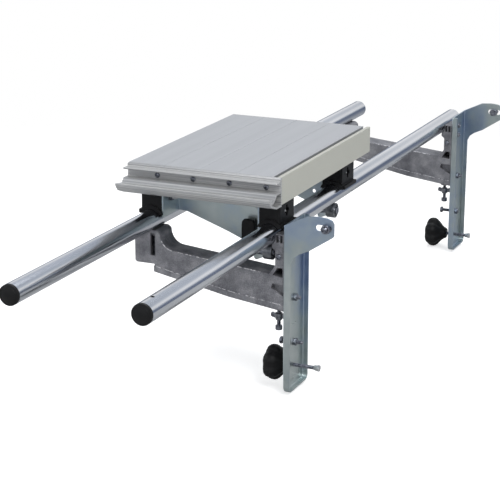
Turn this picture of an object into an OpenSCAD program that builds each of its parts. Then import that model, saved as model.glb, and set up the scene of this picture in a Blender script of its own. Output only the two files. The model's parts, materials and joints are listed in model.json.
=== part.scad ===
// Sliding side table on two guide tubes, with cast cross members and sheet brackets.
// The drawing datum is the left tube's axis at its near end: X across to the brackets,
// Y along the tubes, Z up. Every piece is then moved so that the origin lies on the
// outer face of the near ear, level with the tubes' axes.

/* [Guide tubes] */
// Length of both guide tubes
tube_length = 1320; // [1280:10:1400]
// Outer diameter of the tubes
tube_diameter = 30; // [29:0.5:31]
// Wall thickness of the tubes
tube_wall = 2; // [1.5:0.1:2.5]
// Distance between the two tube axes
tube_spacing = 195; // [190:1:215]
// Diameter of the stop screw's hole in the right tube
stop_hole_diameter = 6; // [4:0.5:8]
// Distance of the stop hole from the tube's near end
stop_hole_setback = 27; // [15:1:40]

/* [Tube caps] */
// Height of the cap's straight rim
cap_rim_height = 4; // [2:0.5:8]
// Height of the cap's dome over the rim
cap_dome_height = 4; // [2:0.5:8]
// Length of the plug inside the tube
cap_plug_length = 14; // [8:1:20]
// Play between the plug and the tube's bore
cap_plug_clearance = 0.1; // [0.05:0.05:0.2]

/* [Cross members] */
// Depth of a casting along the tubes
cast_depth = 42; // [38:1:48]
// Distance of the casting's front from the bracket's near face
cast_setback = 3; // [2:0.5:8]
// Wall thickness of the trough
cast_wall = 5; // [3:0.5:7]
// Floor thickness of the trough
cast_floor = 6; // [4:0.5:9]
// Reach of the left block beyond the left tube's axis
block_reach = 23; // [20:1:28]
// Depth of the left block's underside below the axis
block_drop = 67; // [60:1:75]
// Depth of the saddle's shoulders below the axis
saddle_drop = 13.5; // [12.5:0.5:14]
// Half width of the flat beside the saddle
saddle_half_width = 14; // [12:0.5:16]
// Half width of the left post under the shoulders
post_half_width = 20; // [18:0.5:22]
// Radius of the hollow between the post and the beam
beam_fillet = 24; // [16:1:28]
// Depth of the beam's top edge at the left end
beam_top_drop = 43; // [38:1:46]
// Fall of the beam's top edge from left to right
beam_top_fall = 18; // [12:1:22]
// Place of the underside's step right of the left axis
step_offset = 10; // [6:1:16]
// Height of the underside's step
step_height = 11.5; // [6:0.5:16]
// Fall of the underside from the step to the right end
belly_fall = 35.5; // [28:0.5:40]
// Height of the rim along the lower edge
rim_height = 10; // [6:0.5:12]
// How far the rim stands proud of each wall
rim_proud = 2.5; // [1:0.5:2.8]
// Play between a tube and its seat in the casting
seat_clearance = 0.2; // [0.1:0.05:0.3]

/* [Right posts] */
// Thickness of the post beside the right tube
post_thickness = 15; // [13:0.5:20]
// Height of the post's top above the tubes' axes
post_rise = 4; // [2:0.5:6]
// Distance of the post's inner lip from the right axis
lip_reach = 9; // [8.5:0.5:11]
// Depth of the lip's underside below the axis
lip_drop = 18; // [16.5:0.5:19]
// Distance of the waist from the right axis
waist_reach = 14.5; // [13.5:0.5:16]
// Depth of the top of the waist
waist_top_drop = 22; // [20:0.5:24]
// Depth of the bottom of the waist
waist_bottom_drop = 45; // [43:0.5:48]
// Distance of the foot's inner edge from the right axis
foot_reach = 5; // [3:0.5:8]
// Thickness of the solid end behind the web
end_block = 27; // [24:1:32]

/* [Brackets] */
// Distance of the near bracket's outer face from the tubes' near ends
bracket_offset = 391; // [380:1:420]
// Distance of the far bracket's near face from the tubes' far ends
far_bracket_inset = 100; // [92:1:120]
// Thickness of the sheet steel
sheet = 2.5; // [2:0.1:3]
// Width of the web along the tubes
bracket_width = 75; // [70:1:85]
// Distance of the bracket's lower edge below the far clamp screw
bracket_tail = 23.5; // [20:0.5:34]
// Height of the web's top edge above the axes
bracket_rise = 19.5; // [14:0.5:24]
// Depth of the flanges from the web's rear face
flange_depth = 10.5; // [8:0.5:14]
// Radius of the two lower corners
bracket_corner = 9; // [6:0.5:14]
// Reach of the ear from the web's rear face
ear_reach = 78; // [72:1:90]
// Height of the ear's top above the axes
ear_rise = 38.5; // [34:0.5:44]
// Depth of the ear's root below the axes
ear_root_drop = 38; // [30:1:46]
// Length of the ear's slot
ear_slot_length = 25; // [20:1:30]
// Height of the slot's middle above the axes
ear_slot_rise = 22; // [20:0.5:24]
// Distance of the slot's outer end from the ear's edge
ear_slot_edge = 3.5; // [3:0.5:6]
// Diameter of the ear bolt's thread
ear_bolt_diameter = 8; // [6:0.5:9]
// Length of the ear bolt beyond the ear's outer face
ear_bolt_reach = 25; // [16:1:35]
// Distance of the origin from the web's rear face along the ear
origin_reach = 30; // [25:1:45]

/* [Bracket hardware] */
// Thread diameter of the bracket's screws
screw_diameter = 6; // [5:0.5:6.5]
// Play around a screw in its hole, per side
screw_clearance = 0.15; // [0.1:0.05:0.3]
// Depth of the upper bracket screw below the axes
upper_screw_drop = 2; // [1:0.5:3]
// Depth of the second bracket screw below the axes
second_screw_drop = 20; // [17:1:24]
// Depth of the bracket stud below the axes
stud_drop = 101; // [92:1:104]
// Depth of the two small holes below the axes
pilot_drop = 142.5; // [135:0.5:150]
// Diameter of the small holes
pilot_diameter = 2.5; // [1.5:0.5:4]
// Distance between the small holes
pilot_spacing = 12; // [8:1:20]
// Depth of the adjusting screw below the axes
adjuster_drop = 172; // [168:1:174]
// Length of the adjusting screw under its head
adjuster_length = 32.5; // [28:0.5:40]
// Distance that the near adjusting screw's end stands beyond the web's rear face
near_adjuster_reach = 16.5; // [12:0.5:22]
// Distance that the far adjusting screw's end stands beyond the web's rear face
far_adjuster_reach = 9; // [8:0.5:16]
// Height of the web's upright relief slot
relief_slot_height = 13; // [8:0.5:18]
// Width of the relief slot
relief_slot_width = 4; // [3:0.5:6]
// Height of the relief slot's middle above the bracket's lower edge
relief_slot_rise = 18.5; // [12:0.5:24]
// Distance of the relief slot from the web's middle line
relief_slot_offset = 21; // [14:0.5:26]

/* [Clamp screws] */
// Distance of the near knob's rim below the adjusting screw's axis
near_knob_gap = 9; // [8:0.5:14]
// Distance of the far knob's rim below the adjusting screw's axis
far_knob_gap = 19; // [8:0.5:22]
// Distance of the near pad's face from the web's rear face
near_clamp_reach = 44.5; // [36:0.5:45]
// Distance of the far pad's face from the web's rear face
far_clamp_reach = 33; // [26:0.5:45]
// Overall length from the knob's outer face to the pad's face
clamp_length = 89; // [88:0.5:100]
// Diameter over the star knob's lobes
knob_diameter = 56; // [48:1:57]
// Thickness of the knob's lobed part
knob_thickness = 28; // [20:1:32]
// Length of the knob's conical hub
knob_hub_length = 14; // [8:1:14]
// Diameter of the hub's narrow end
knob_hub_diameter = 18; // [14:1:24]
// Number of lobes
knob_lobes = 6; // [4:1:8]
// Diameter of the clamp pad
pad_diameter = 10; // [9:0.5:14]
// Length of the clamp pad
pad_length = 9; // [7:0.5:12]

/* [Height bolts] */
// Distance of the height bolt from the web's front face
height_bolt_inset = 17; // [15:0.5:18]
// Depth of the underside of the bolt's head below the axes
height_head_drop = 151; // [148:0.5:156]
// Length of the height bolt with its head
height_bolt_length = 59; // [50:1:62]
// Height of the casting's boss round the bolt
height_boss = 4; // [2:0.5:6]
// Reach of the wings from the bolt's axis
wing_reach = 13; // [11:0.5:14]
// Height of the wing nut
wing_nut_height = 17; // [14:0.5:20]

/* [Table] */
// Distance of the table's near edge from the tubes' near ends
table_offset = 372; // [360:1:380]
// Length of the planks along the tubes
plank_length = 375; // [350:1:400]
// Number of planks
plank_count = 4; // [3:1:4]
// Width of one plank with its joint
plank_pitch = 58.5; // [56:0.5:62]
// Open joint between two planks
plank_joint = 0.3; // [0.2:0.1:0.6]
// Height of the planks
plank_height = 43; // [38:0.5:48]
// Wall thickness of the planks
plank_wall = 2.5; // [2:0.1:3.5]
// Height of the planks' underside above the axes
table_rise = 53; // [52:0.5:60]
// Overhang of the table left of the left axis
table_overhang = 18; // [12:1:24]
// Thickness of the rear strip
strip_thickness = 2; // [1.5:0.1:4]

/* [Rails] */
// Depth of the front rail
rail_depth = 46; // [40:1:54]
// Thickness of the side rail
side_rail_thickness = 6; // [4:0.5:8]
// Gap between the planks and the side rail
side_rail_gap = 6; // [5:0.5:9]
// Height of the side rail's foot
side_rail_foot = 6; // [4:0.5:12]
// Height of the side rail's lower edge above the planks' underside
side_rail_lift = 1.5; // [0.5:0.5:4]
// Distance that the front rail stands beyond the side rail
rail_end = 1; // [0.5:0.5:3]
// Diameter of the end screws' thread
end_screw_diameter = 4; // [3:0.5:5]
// Diameter of the end screws' head
end_screw_head = 8.4; // [7:0.1:9]
// Length of the end screws
end_screw_length = 26; // [18:1:32]
// Distance of a plank's screw channel from its right edge
channel_inset = 8.9; // [8:0.1:14]

/* [Sliding shoes] */
// Length of a shoe along the tube
shoe_length = 56; // [50:1:60]
// Width of a shoe's body
shoe_width = 34; // [32:1:38]
// Distance of the near shoes from the table's near edge
shoe_offset = 33; // [28:1:50]
// Distance of the far shoes from the table's far edge
far_shoe_inset = 29; // [20:1:46]
// Radius of the saddle's arch over the tube
arch_radius = 21.5; // [20.5:0.5:22]
// Distance that the arch stands proud of the body's near end
arch_proud = 2.5; // [1:0.5:3]
// Distance that the lip stands out on the outer side
lip_proud = 5; // [3:0.5:6]
// Height of the shoe's lower edge above the axes
shoe_lip_rise = 8; // [7:0.5:9]
// Thickness of the lip
shoe_lip_height = 6; // [4:0.5:8]
// Running play between a shoe and its tube
shoe_clearance = 0.3; // [0.2:0.05:0.5]
// Height of the shoe bolt above the axes
shoe_bolt_rise = 31; // [29:0.5:36]
// Length of the shoe bolt under its head
shoe_bolt_length = 42; // [40:0.5:46]
// Depth of the pocket for the bolt's head
shoe_pocket_depth = 7; // [5:0.5:9]

/* [Cross plates] */
// Distance of a cross plate's flanges behind the shoes' arches
flange_setback = 0.5; // [0.3:0.1:4]
// Distance of the cross plate's web from the shoes' far ends
web_gap = 0.5; // [0.3:0.1:2]
// Height of the left flange's lower edge above the axes
left_flange_rise = 4; // [2:0.5:8]
// Depth of the web's lower edge at the right flange
plate_drop = 49; // [46:0.5:51]

/* [Rollers] */
// Outer diameter of a roller
roller_diameter = 24; // [20:0.5:24]
// Width of a roller
roller_width = 14; // [10:0.5:14]
// Play between a roller and the tube
roller_clearance = 0.3; // [0.2:0.1:0.6]
// Distance of the roller's outer face from the right axis
roller_reach = 8; // [6:0.5:8]
// Distance of the roller's axle from the shoe's near end
roller_offset = 1; // [0:0.5:6]
// Diameter of the axle
axle_diameter = 8; // [6:0.5:9]
// Play in a turning fit, per side
running_clearance = 0.05; // [0.03:0.01:0.08]

/* [Lock knob] */
// Width of the lock knob
lock_width = 25; // [18:1:28]
// Height of the lock knob
lock_height = 44; // [36:1:46]
// Thickness of the lock knob
lock_thickness = 14; // [10:0.5:18]
// Distance of the lock knob's axis from the right axis
lock_inset = 52.5; // [48:0.5:60]
// Depth of the lock knob's axis below the tubes' axes
lock_drop = 14; // [8:0.5:15]
// Length of the lock knob's hub
lock_hub_length = 6; // [4:0.5:10]

/* [Hidden] */

// Number of faces round a circle in the quick mesh; the exact solids stay round
$fn = 16;
// Overrun of cuts past the faces that they open
over = 1;

// Tubes
tube_r = tube_diameter / 2;
bore_r = tube_r - tube_wall;
seat_r = tube_r + seat_clearance;
left_x = 0;
right_x = tube_spacing;

// Brackets and what stands on their webs
web_x = right_x + tube_r + post_thickness;
web_rear_x = web_x + sheet;
near_y = bracket_offset;
far_y = tube_length - far_bracket_inset;
bracket_mid = bracket_width / 2;
near_clamp_drop = adjuster_drop + knob_diameter / 2 + near_knob_gap;
far_clamp_drop = adjuster_drop + knob_diameter / 2 + far_knob_gap;
bracket_drop = far_clamp_drop + bracket_tail;
relief_slot_drop = bracket_drop - relief_slot_rise;
// The origin on the outer face of the near ear
origin = [web_x + origin_reach, near_y, 0];
// Outline of an ear, as shares of its reach and of its height over its root
ear_shares = [[0.47, 0.98], [0.7, 1], [0.87, 0.985], [0.965, 0.95], [1, 0.88], [1, 0.65],
              [0.975, 0.615], [0.506, 0.3], [0.308, 0.21], [0.19, 0.12]];
ear_height = ear_rise + ear_root_drop;
ear_slot_width = ear_bolt_diameter + sheet / 2;
ear_bolt_inset = ear_slot_edge + ear_slot_width / 2;

// Castings
cast_near_y = near_y + cast_setback;
cast_far_y = far_y + cast_setback;
cast_mid = cast_depth / 2;
cast_bottom = block_drop + step_height + belly_fall;
cast_span = web_x - step_offset;
// Bow of the underside, as shares of the span and of the fall
belly_shares = [[0.16, 0.19], [0.59, 0.68]];
// Slot in the left post's front and the cavity behind it, as shares of the block
stud_slot_share = [0.17, 0.5];
stud_slot_top_share = 0.28;
stud_slot_bottom_share = 0.8;
cavity_half_width = post_half_width * 0.6;
cavity_roof = block_drop * 0.36;
cavity_wall = cast_wall;
// Two upright pockets in the right post's front
pocket_width = post_thickness * 0.27;
pocket_depth = cast_wall * 1.6;
pocket_drop = lip_drop / 2;
// Round recess in the right end's front
recess_radius = end_block * 0.26;
recess_depth = rim_proud;

// Screws
screw_r = screw_diameter / 2;
screw_hole_r = screw_r + screw_clearance;
running_r = screw_r + running_clearance;
nut_flats = screw_diameter * 1.67;
nut_height = screw_diameter * 0.83;
head_height = screw_diameter * 0.7;
button_r = screw_diameter * 0.83;
button_height = screw_diameter * 0.45;
socket_r = screw_diameter * 0.3;
stud_tail = nut_height;
ear_bolt_r = ear_bolt_diameter / 2;
ear_nut_flats = ear_bolt_diameter * 1.63;
ear_nut_height = ear_bolt_diameter * 0.8;
ear_head_height = ear_bolt_diameter * 0.66;

// Clamp screws: the place of the knob's outer face
knob_r = knob_diameter / 2;
knob_hub_r = knob_hub_diameter / 2;
lobe_r = knob_r * 0.3;
knob_body_r = knob_r - lobe_r * 0.75;
knob_bevel = knob_thickness * 0.18;
lobe_start = knob_bevel * 0.7;
pad_r = pad_diameter / 2;
pad_socket = pad_length * 0.6;
clamp_thread_in_knob = knob_hub_length + knob_thickness / 2;
pad_end_gap = running_clearance * 4;

// Height bolts and wing nuts
height_bolt_x = web_x - height_bolt_inset;
height_bolt_y = cast_mid;
wing_hub_r = screw_diameter;
wing_sheet = screw_diameter * 0.4;
wing_seat_gap = seat_clearance;
boss_r = screw_diameter * 1.3;

// Table
table_y = table_offset;
table_end_y = table_y + plank_length;
table_x = left_x - table_overhang;
table_top = table_rise + plank_height;
table_right_x = table_x + plank_count * plank_pitch;
plank_width = plank_pitch - plank_joint;
channel_r = end_screw_diameter / 2 + screw_clearance / 2;
channel_wall = end_screw_diameter;

// Front rail's outline, as shares of its depth out from the planks and of the planks' height
rail_shares = [[0, 1], [0.13, 0.965], [0.13, 0.884], [0.435, 0.884], [0.435, 0.84],
               [0.217, 0.77], [0.109, 0.77], [0.109, 0.535], [0.413, 0.535], [0.478, 0.465],
               [0.565, 0.384], [1, 0.465], [1, 0.386], [0.848, 0.186], [0.63, 0.093],
               [0.413, 0.012], [0, 0]];
rail_cell_shares = [[0.065, 0.07], [0.065, 0.475], [0.38, 0.475], [0.5, 0.36], [0.62, 0.28],
                    [0.78, 0.24], [0.62, 0.155], [0.42, 0.075]];
rail_web_share = 0.109;
slot_low_share = 0.535;
slot_high_share = 0.77;
rail_web = rail_depth * rail_web_share;
channel_z = table_rise + plank_height * (slot_low_share + slot_high_share) / 2;
side_rail_x = table_right_x + side_rail_gap;
rail_right_x = side_rail_x + side_rail_thickness + rail_end;
end_screw_dome = end_screw_diameter * 0.6;
cross_width = end_screw_diameter * 0.25;
cross_reach = end_screw_head * 0.6;

// Shoes
shoe_near_y = table_y + shoe_offset;
shoe_far_y = table_end_y - far_shoe_inset - shoe_length;
shoe_half = shoe_width / 2;
shoe_bore_r = tube_r + shoe_clearance;
shoe_mid = shoe_length / 2;
pocket_arm = screw_diameter * 1.4;
pocket_slot = screw_diameter * 0.8;
pocket_r = button_r + screw_clearance * 3;

// Cross plates
plate_left_x = left_x + shoe_half;
plate_right_x = right_x - shoe_half;
plate_width = plate_right_x - plate_left_x;
plate_web_y = shoe_length + web_gap;
flange_front_y = arch_proud + flange_setback;
// Lower edge of the web, as shares of its width and of its depth from flange to flange
plate_edge_shares = [[0.1, 0.02], [0.54, 0.49], [0.68, 0.66]];
plate_edge_fall = plate_drop + left_flange_rise;

// Rollers
roller_r = roller_diameter / 2;
roller_z = -(tube_r + roller_clearance + roller_r);
roller_outer_x = right_x + roller_reach;
roller_inner_x = roller_outer_x - roller_width;
axle_r = axle_diameter / 2;
axle_tip_r = screw_r;
hub_ring_r = roller_r * 0.74;
hub_gap = roller_clearance;
axle_collar_r = axle_r * 1.6;
axle_head_r = axle_r * 1.5;
axle_head_height = axle_r * 0.7;
arm_reach = roller_r * 0.95;

// Lock knob
lock_x = right_x - lock_inset;
lock_corner = lock_width * 0.16;
lock_hub_r = lock_width * 0.28;
lock_gap = seat_clearance;
lock_screw_tail = nut_height * 2;

// Colours, as red, green and blue shares
zinc_share = [0.62, 0.67, 0.73];
chrome_share = [0.78, 0.8, 0.83];
cast_share = [0.42, 0.42, 0.44];
aluminium_share = [0.7, 0.71, 0.72];
side_rail_share = [0.7, 0.7, 0.66];
black_share = [0.08, 0.08, 0.09];
steel_share = [0.66, 0.67, 0.69];

// Moves a piece from the drawing datum to the origin
module placed() {
    translate(-origin)
        children();
}

// Rods and hexagons along each axis, starting at their lower end
module rod_x(r, length) {
    rotate([0, 90, 0])
        cylinder(r = r, h = length);
}

module rod_y(r, length) {
    rotate([-90, 0, 0])
        cylinder(r = r, h = length);
}

module hex_x(flats, length) {
    rotate([0, 90, 0])
        cylinder(d = flats / cos(30), h = length, $fn = 6);
}

module hex_y(flats, length) {
    rotate([-90, 0, 0])
        cylinder(d = flats / cos(30), h = length, $fn = 6);
}

module hex_z(flats, length) {
    cylinder(d = flats / cos(30), h = length, $fn = 6);
}

// A nut along X with its bore
module nut_x(flats, length, bore) {
    difference() {
        hex_x(flats, length);
        translate([-over, 0, 0])
            rod_x(bore, length + 2 * over);
    }
}

// An outline in X and Z, drawn through a depth along +Y
module upright(depth) {
    translate([0, depth, 0])
        rotate([90, 0, 0])
            linear_extrude(height = depth)
                children();
}

// Points on an arc, in the outline's own plane
function arc(centre, r, from, to, steps = 16) =
    [for (i = [0 : steps]) centre + r * [cos(from + (to - from) * i / steps),
                                         sin(from + (to - from) * i / steps)]];

// Guide tubes and caps

module guide_tube(x) {
    color(chrome_share)
        translate([x, 0, 0])
            difference() {
                rod_y(tube_r, tube_length);
                translate([0, -over, 0])
                    rod_y(bore_r, tube_length + 2 * over);
                children();
            }
}

module left_guide_tube() {
    placed()
        guide_tube(left_x)
            for (y = [cast_near_y, cast_far_y])
                translate([0, y + cast_mid, -tube_diameter])
                    cylinder(r = screw_hole_r, h = tube_diameter);
}

module right_guide_tube() {
    placed()
        guide_tube(right_x) {
            translate([0, stop_hole_setback, 0])
                cylinder(d = stop_hole_diameter, h = tube_diameter);
            for (y = [near_y, far_y])
                translate([0, y + bracket_mid, -upper_screw_drop])
                    rod_x(screw_hole_r, tube_diameter);
        }
}

// The plug is turned in one piece with its rim and dome
module tube_cap(x) {
    plug_r = bore_r - cap_plug_clearance;
    dome_r = (tube_r * tube_r + cap_dome_height * cap_dome_height) / (2 * cap_dome_height);
    dome_half_angle = asin(tube_r / dome_r);
    crown = cap_rim_height + cap_dome_height;
    color(black_share)
        translate([x, 0, 0])
            rotate([90, 0, 0])
                rotate_extrude()
                    polygon(concat([[0, -cap_plug_length], [plug_r, -cap_plug_length],
                                    [plug_r, 0], [tube_r, 0]],
                                   arc([0, crown - dome_r], dome_r, 90 - dome_half_angle, 90)));
}

module left_tube_cap() {
    placed()
        tube_cap(left_x);
}

module right_tube_cap() {
    placed()
        tube_cap(right_x);
}

// Cross members

// The underside from the step to the right end
function belly(lift = 0) =
    concat([[step_offset, lift - block_drop - step_height]],
           [for (s = belly_shares) [step_offset + cast_span * s[0],
                                    lift - block_drop - step_height - belly_fall * s[1]]],
           [[web_x, lift - cast_bottom]]);

// Height of the beam's top edge at a place across
beam_start_x = post_half_width + beam_fillet;
function beam_top(x) =
    -beam_top_drop - beam_top_fall * (x - beam_start_x) / (web_x - beam_start_x);

// The casting's outline: saddle post, beam, right post and underside
module cast_outline() {
    waist_x = right_x + waist_reach;
    lip_x = right_x + lip_reach;
    foot_x = right_x + foot_reach;
    shoulder = post_half_width - saddle_half_width;
    chamfer = block_reach - post_half_width;
    polygon(concat(
        [[-block_reach + chamfer, -block_drop],
         [-block_reach, -block_drop + chamfer],
         [-block_reach, -saddle_drop - 2 * shoulder],
         [-post_half_width, -saddle_drop - shoulder],
         [-saddle_half_width, -saddle_drop],
         [saddle_half_width, -saddle_drop],
         [post_half_width - chamfer / 2, -saddle_drop - chamfer]],
        arc([beam_start_x, beam_fillet - beam_top_drop], beam_fillet, 180, 270),
        [[foot_x, beam_top(foot_x)],
         [waist_x, -waist_bottom_drop],
         [waist_x, -waist_top_drop],
         [lip_x, -lip_drop],
         [lip_x, post_rise],
         [web_x, post_rise],
         [web_x, -cast_bottom]],
        [for (i = [len(belly()) - 2 : -1 : 0]) belly()[i]],
        [[step_offset, -block_drop]]));
}

// The open trough inside the beam
module trough_outline() {
    left = post_half_width + cast_wall;
    right = web_x - end_block;
    floor_points = belly(cast_floor);
    polygon(concat(
        [[left, 0], [left, floor_points[0][1]]],
        [for (i = [1 : len(floor_points) - 2]) floor_points[i]],
        [[right, floor_points[len(floor_points) - 2][1]
                 - (right - floor_points[len(floor_points) - 2][0])
                   * (floor_points[len(floor_points) - 2][1] - floor_points[len(floor_points) - 1][1])
                   / (web_x - floor_points[len(floor_points) - 2][0])],
         [right, 0]]));
}

// The rim along the lower edge
module rim_outline() {
    low = belly();
    high = belly(rim_height);
    polygon(concat(low, [for (i = [len(high) - 1 : -1 : 0]) high[i]]));
}

module cross_member(y, bracket_y) {
    web_hole_y = bracket_y + bracket_mid - y;
    post_x = web_x - post_thickness / 2 - pocket_width / 4;
    recess_x = web_x - end_block / 3;
    recess_z = -cast_bottom + end_block * 1.25;
    color(cast_share)
        translate([0, y, 0])
            difference() {
                union() {
                    upright(cast_depth)
                        cast_outline();
                    translate([0, -rim_proud, 0])
                        upright(cast_depth + 2 * rim_proud)
                            rim_outline();
                    translate([height_bolt_x, height_bolt_y, -cast_bottom - height_boss])
                        cylinder(r = boss_r, h = height_boss + cast_floor);
                }
                translate([0, cast_wall, 0])
                    upright(cast_depth - 2 * cast_wall)
                        trough_outline();
                for (x = [left_x, right_x])
                    translate([x, -over - rim_proud, 0])
                        rod_y(seat_r, cast_depth + 2 * over + 2 * rim_proud);
                // Cavity under the saddle, with the slot that shows the stud
                translate([-cavity_half_width, cavity_wall, -block_drop - step_height])
                    cube([2 * cavity_half_width, cast_depth - 2 * cavity_wall,
                          block_drop + step_height - cavity_roof]);
                translate([block_reach * stud_slot_share[0], -over, -block_drop * stud_slot_bottom_share])
                    cube([block_reach * (stud_slot_share[1] - stud_slot_share[0]), cavity_wall + 2 * over,
                          block_drop * (stud_slot_bottom_share - stud_slot_top_share)]);
                translate([left_x, cast_mid, -block_drop])
                    cylinder(r = screw_hole_r, h = block_drop);
                // Upright pockets in the right post
                for (side = [-1, 1])
                    translate([post_x + side * pocket_width * 0.75 - pocket_width / 2,
                               -over, -pocket_drop])
                        cube([pocket_width, pocket_depth + over, pocket_drop + post_rise / 2]);
                translate([recess_x, -over, recess_z])
                    rod_y(recess_radius, recess_depth + over);
                translate([post_screw_x, -over, -post_screw_drop])
                    rod_y(screw_hole_r, post_screw_length + over);
                // Screws and stud through the web
                translate([right_x, web_hole_y, -upper_screw_drop])
                    rod_x(screw_hole_r, web_x - right_x + over);
                translate([second_screw_tip_x, web_hole_y, -second_screw_drop])
                    rod_x(screw_hole_r, web_x - second_screw_tip_x + over);
                translate([stud_tip_x, web_hole_y, -stud_drop])
                    rod_x(screw_hole_r, web_x - stud_tip_x + over);
                translate([height_bolt_x, height_bolt_y, -cast_bottom - height_boss - over])
                    cylinder(r = screw_hole_r, h = height_bolt_length);
            }
}

module near_cross_member() {
    placed()
        cross_member(cast_near_y, near_y);
}

module far_cross_member() {
    placed()
        cross_member(cast_far_y, far_y);
}

// Studs up through the saddles into the left tube, with their nuts
stud_bottom = block_drop * 0.92;
stud_top = bore_r * 0.65;

module tube_studs() {
    placed()
        color(steel_share)
            for (y = [cast_near_y, cast_far_y])
                translate([left_x, y + cast_mid, -stud_bottom])
                    cylinder(r = screw_r, h = stud_bottom - stud_top);
}

module tube_nuts() {
    placed()
        color(steel_share)
            for (y = [cast_near_y, cast_far_y])
                translate([left_x, y + cast_mid, -cavity_roof - nut_height])
                    difference() {
                        hex_z(nut_flats, nut_height);
                        translate([0, 0, -over])
                            cylinder(r = screw_hole_r, h = nut_height + 2 * over);
                    }
}

// Set screws in the fronts of the right posts
post_screw_x = right_x + waist_reach + screw_diameter;
post_screw_drop = (waist_top_drop + waist_bottom_drop) / 2 - screw_r;
post_screw_length = cast_depth / 3;

module post_screws() {
    placed()
        color(steel_share)
            for (y = [cast_near_y, cast_far_y])
                translate([post_screw_x, y, -post_screw_drop]) {
                    rod_y(screw_r, post_screw_length - screw_clearance);
                    translate([0, -button_height, 0])
                        difference() {
                            rod_y(button_r * 0.9, button_height);
                            translate([0, -over, 0])
                                hex_y(2 * socket_r, over + button_height / 2);
                        }
                }
}

// Brackets

// The web's outline across the tubes, with its two round lower corners
module pan_outline(inset) {
    r = bracket_corner - inset;
    bottom = -bracket_drop + inset;
    polygon(concat(
        [[bracket_rise + (inset > 0 ? over : 0), inset]],
        [[bracket_rise + (inset > 0 ? over : 0), bracket_width - inset]],
        arc([bottom + r, bracket_width - inset - r], r, 90, 180),
        arc([bottom + r, inset + r], r, 180, 270)));
}

// The ear on a flange, as an outline in X and Z
module ear_outline() {
    polygon(concat(
        [[web_x, -ear_root_drop], [web_x, bracket_rise]],
        [for (s = ear_shares) [web_x + ear_reach * s[0], -ear_root_drop + ear_height * s[1]]],
        [[web_x + flange_depth, -ear_root_drop]]));
}

// A bracket with its ear on the near flange
module bracket(clamp_drop) {
    slot_x = web_x + ear_reach - ear_bolt_inset;
    color(zinc_share)
        difference() {
            union() {
                difference() {
                    translate([web_x, 0, 0])
                        rotate([0, -90, 0])
                            mirror([0, 0, 1])
                                linear_extrude(height = flange_depth)
                                    pan_outline(0);
                    translate([web_rear_x, 0, 0])
                        rotate([0, -90, 0])
                            mirror([0, 0, 1])
                                linear_extrude(height = flange_depth)
                                    pan_outline(sheet);
                }
                upright(sheet)
                    ear_outline();
            }
            // The ear's slot
            for (x = [slot_x - ear_slot_length + ear_slot_width, slot_x])
                translate([x, -over, ear_slot_rise])
                    rod_y(ear_slot_width / 2, sheet + 2 * over);
            translate([slot_x - ear_slot_length + ear_slot_width, -over,
                       ear_slot_rise - ear_slot_width / 2])
                cube([ear_slot_length - ear_slot_width, sheet + 2 * over, ear_slot_width]);
            // Holes for screws, stud and adjusting screw
            for (drop = [upper_screw_drop, second_screw_drop, stud_drop, adjuster_drop])
                translate([web_x - over, bracket_mid, -drop])
                    rod_x(screw_hole_r, sheet + 2 * over);
            translate([web_x - over, bracket_mid, -clamp_drop])
                rod_x(running_r, sheet + 2 * over);
            for (side = [-1, 1])
                translate([web_x - over, bracket_mid + side * pilot_spacing / 2, -pilot_drop])
                    rod_x(pilot_diameter / 2, sheet + 2 * over);
            // The upright relief slot beside the clamp screw
            for (side = [-1, 1])
                translate([web_x - over, bracket_mid + relief_slot_offset,
                           -relief_slot_drop + side * (relief_slot_height - relief_slot_width) / 2])
                    rod_x(relief_slot_width / 2, sheet + 2 * over);
            translate([web_x - over, bracket_mid + relief_slot_offset - relief_slot_width / 2,
                       -relief_slot_drop - (relief_slot_height - relief_slot_width) / 2])
                cube([sheet + 2 * over, relief_slot_width, relief_slot_height - relief_slot_width]);
        }
}

module near_bracket() {
    placed()
        translate([0, near_y, 0])
            bracket(near_clamp_drop);
}

module far_bracket() {
    placed()
        translate([0, far_y + bracket_width, 0])
            mirror([0, 1, 0])
                bracket(far_clamp_drop);
}

// Repeats children at both brackets' middle lines
module at_brackets() {
    for (y = [near_y, far_y])
        translate([0, y + bracket_mid, 0])
            children();
}

// Button screws through the web into the right post, the upper one into the tube
upper_screw_tip_x = right_x + bore_r * 0.7;
second_screw_tip_x = web_x - post_thickness * 0.85;

module button_screw(tip_x) {
    translate([tip_x, 0, 0])
        rod_x(screw_r, web_rear_x - tip_x);
    translate([web_rear_x, 0, 0])
        difference() {
            rod_x(button_r, button_height);
            translate([button_height / 2, 0, 0])
                hex_x(2 * socket_r, button_height);
        }
}

module bracket_screws() {
    placed()
        color(steel_share)
            at_brackets() {
                translate([0, 0, -upper_screw_drop])
                    button_screw(upper_screw_tip_x);
                translate([0, 0, -second_screw_drop])
                    button_screw(second_screw_tip_x);
            }
}

stud_tip_x = web_x - end_block * 0.75;

module bracket_studs() {
    placed()
        color(steel_share)
            at_brackets()
                translate([stud_tip_x + screw_clearance, 0, -stud_drop])
                    rod_x(screw_r, web_rear_x + nut_height + stud_tail - stud_tip_x - screw_clearance);
}

module bracket_nuts() {
    placed()
        color(steel_share)
            at_brackets()
                translate([web_rear_x, 0, -stud_drop])
                    nut_x(nut_flats, nut_height, screw_hole_r);
}

module adjusting_screws() {
    placed()
        color(steel_share)
            for (place = [[near_y, near_adjuster_reach], [far_y, far_adjuster_reach]])
                translate([web_x + place[1] - adjuster_length, place[0] + bracket_mid, -adjuster_drop]) {
                    rod_x(screw_r, adjuster_length);
                    translate([-head_height, 0, 0])
                        hex_x(nut_flats, head_height);
                }
}

module adjusting_nuts() {
    placed()
        color(steel_share)
            at_brackets()
                translate([web_rear_x, 0, -adjuster_drop])
                    nut_x(nut_flats, nut_height, screw_hole_r);
}

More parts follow.
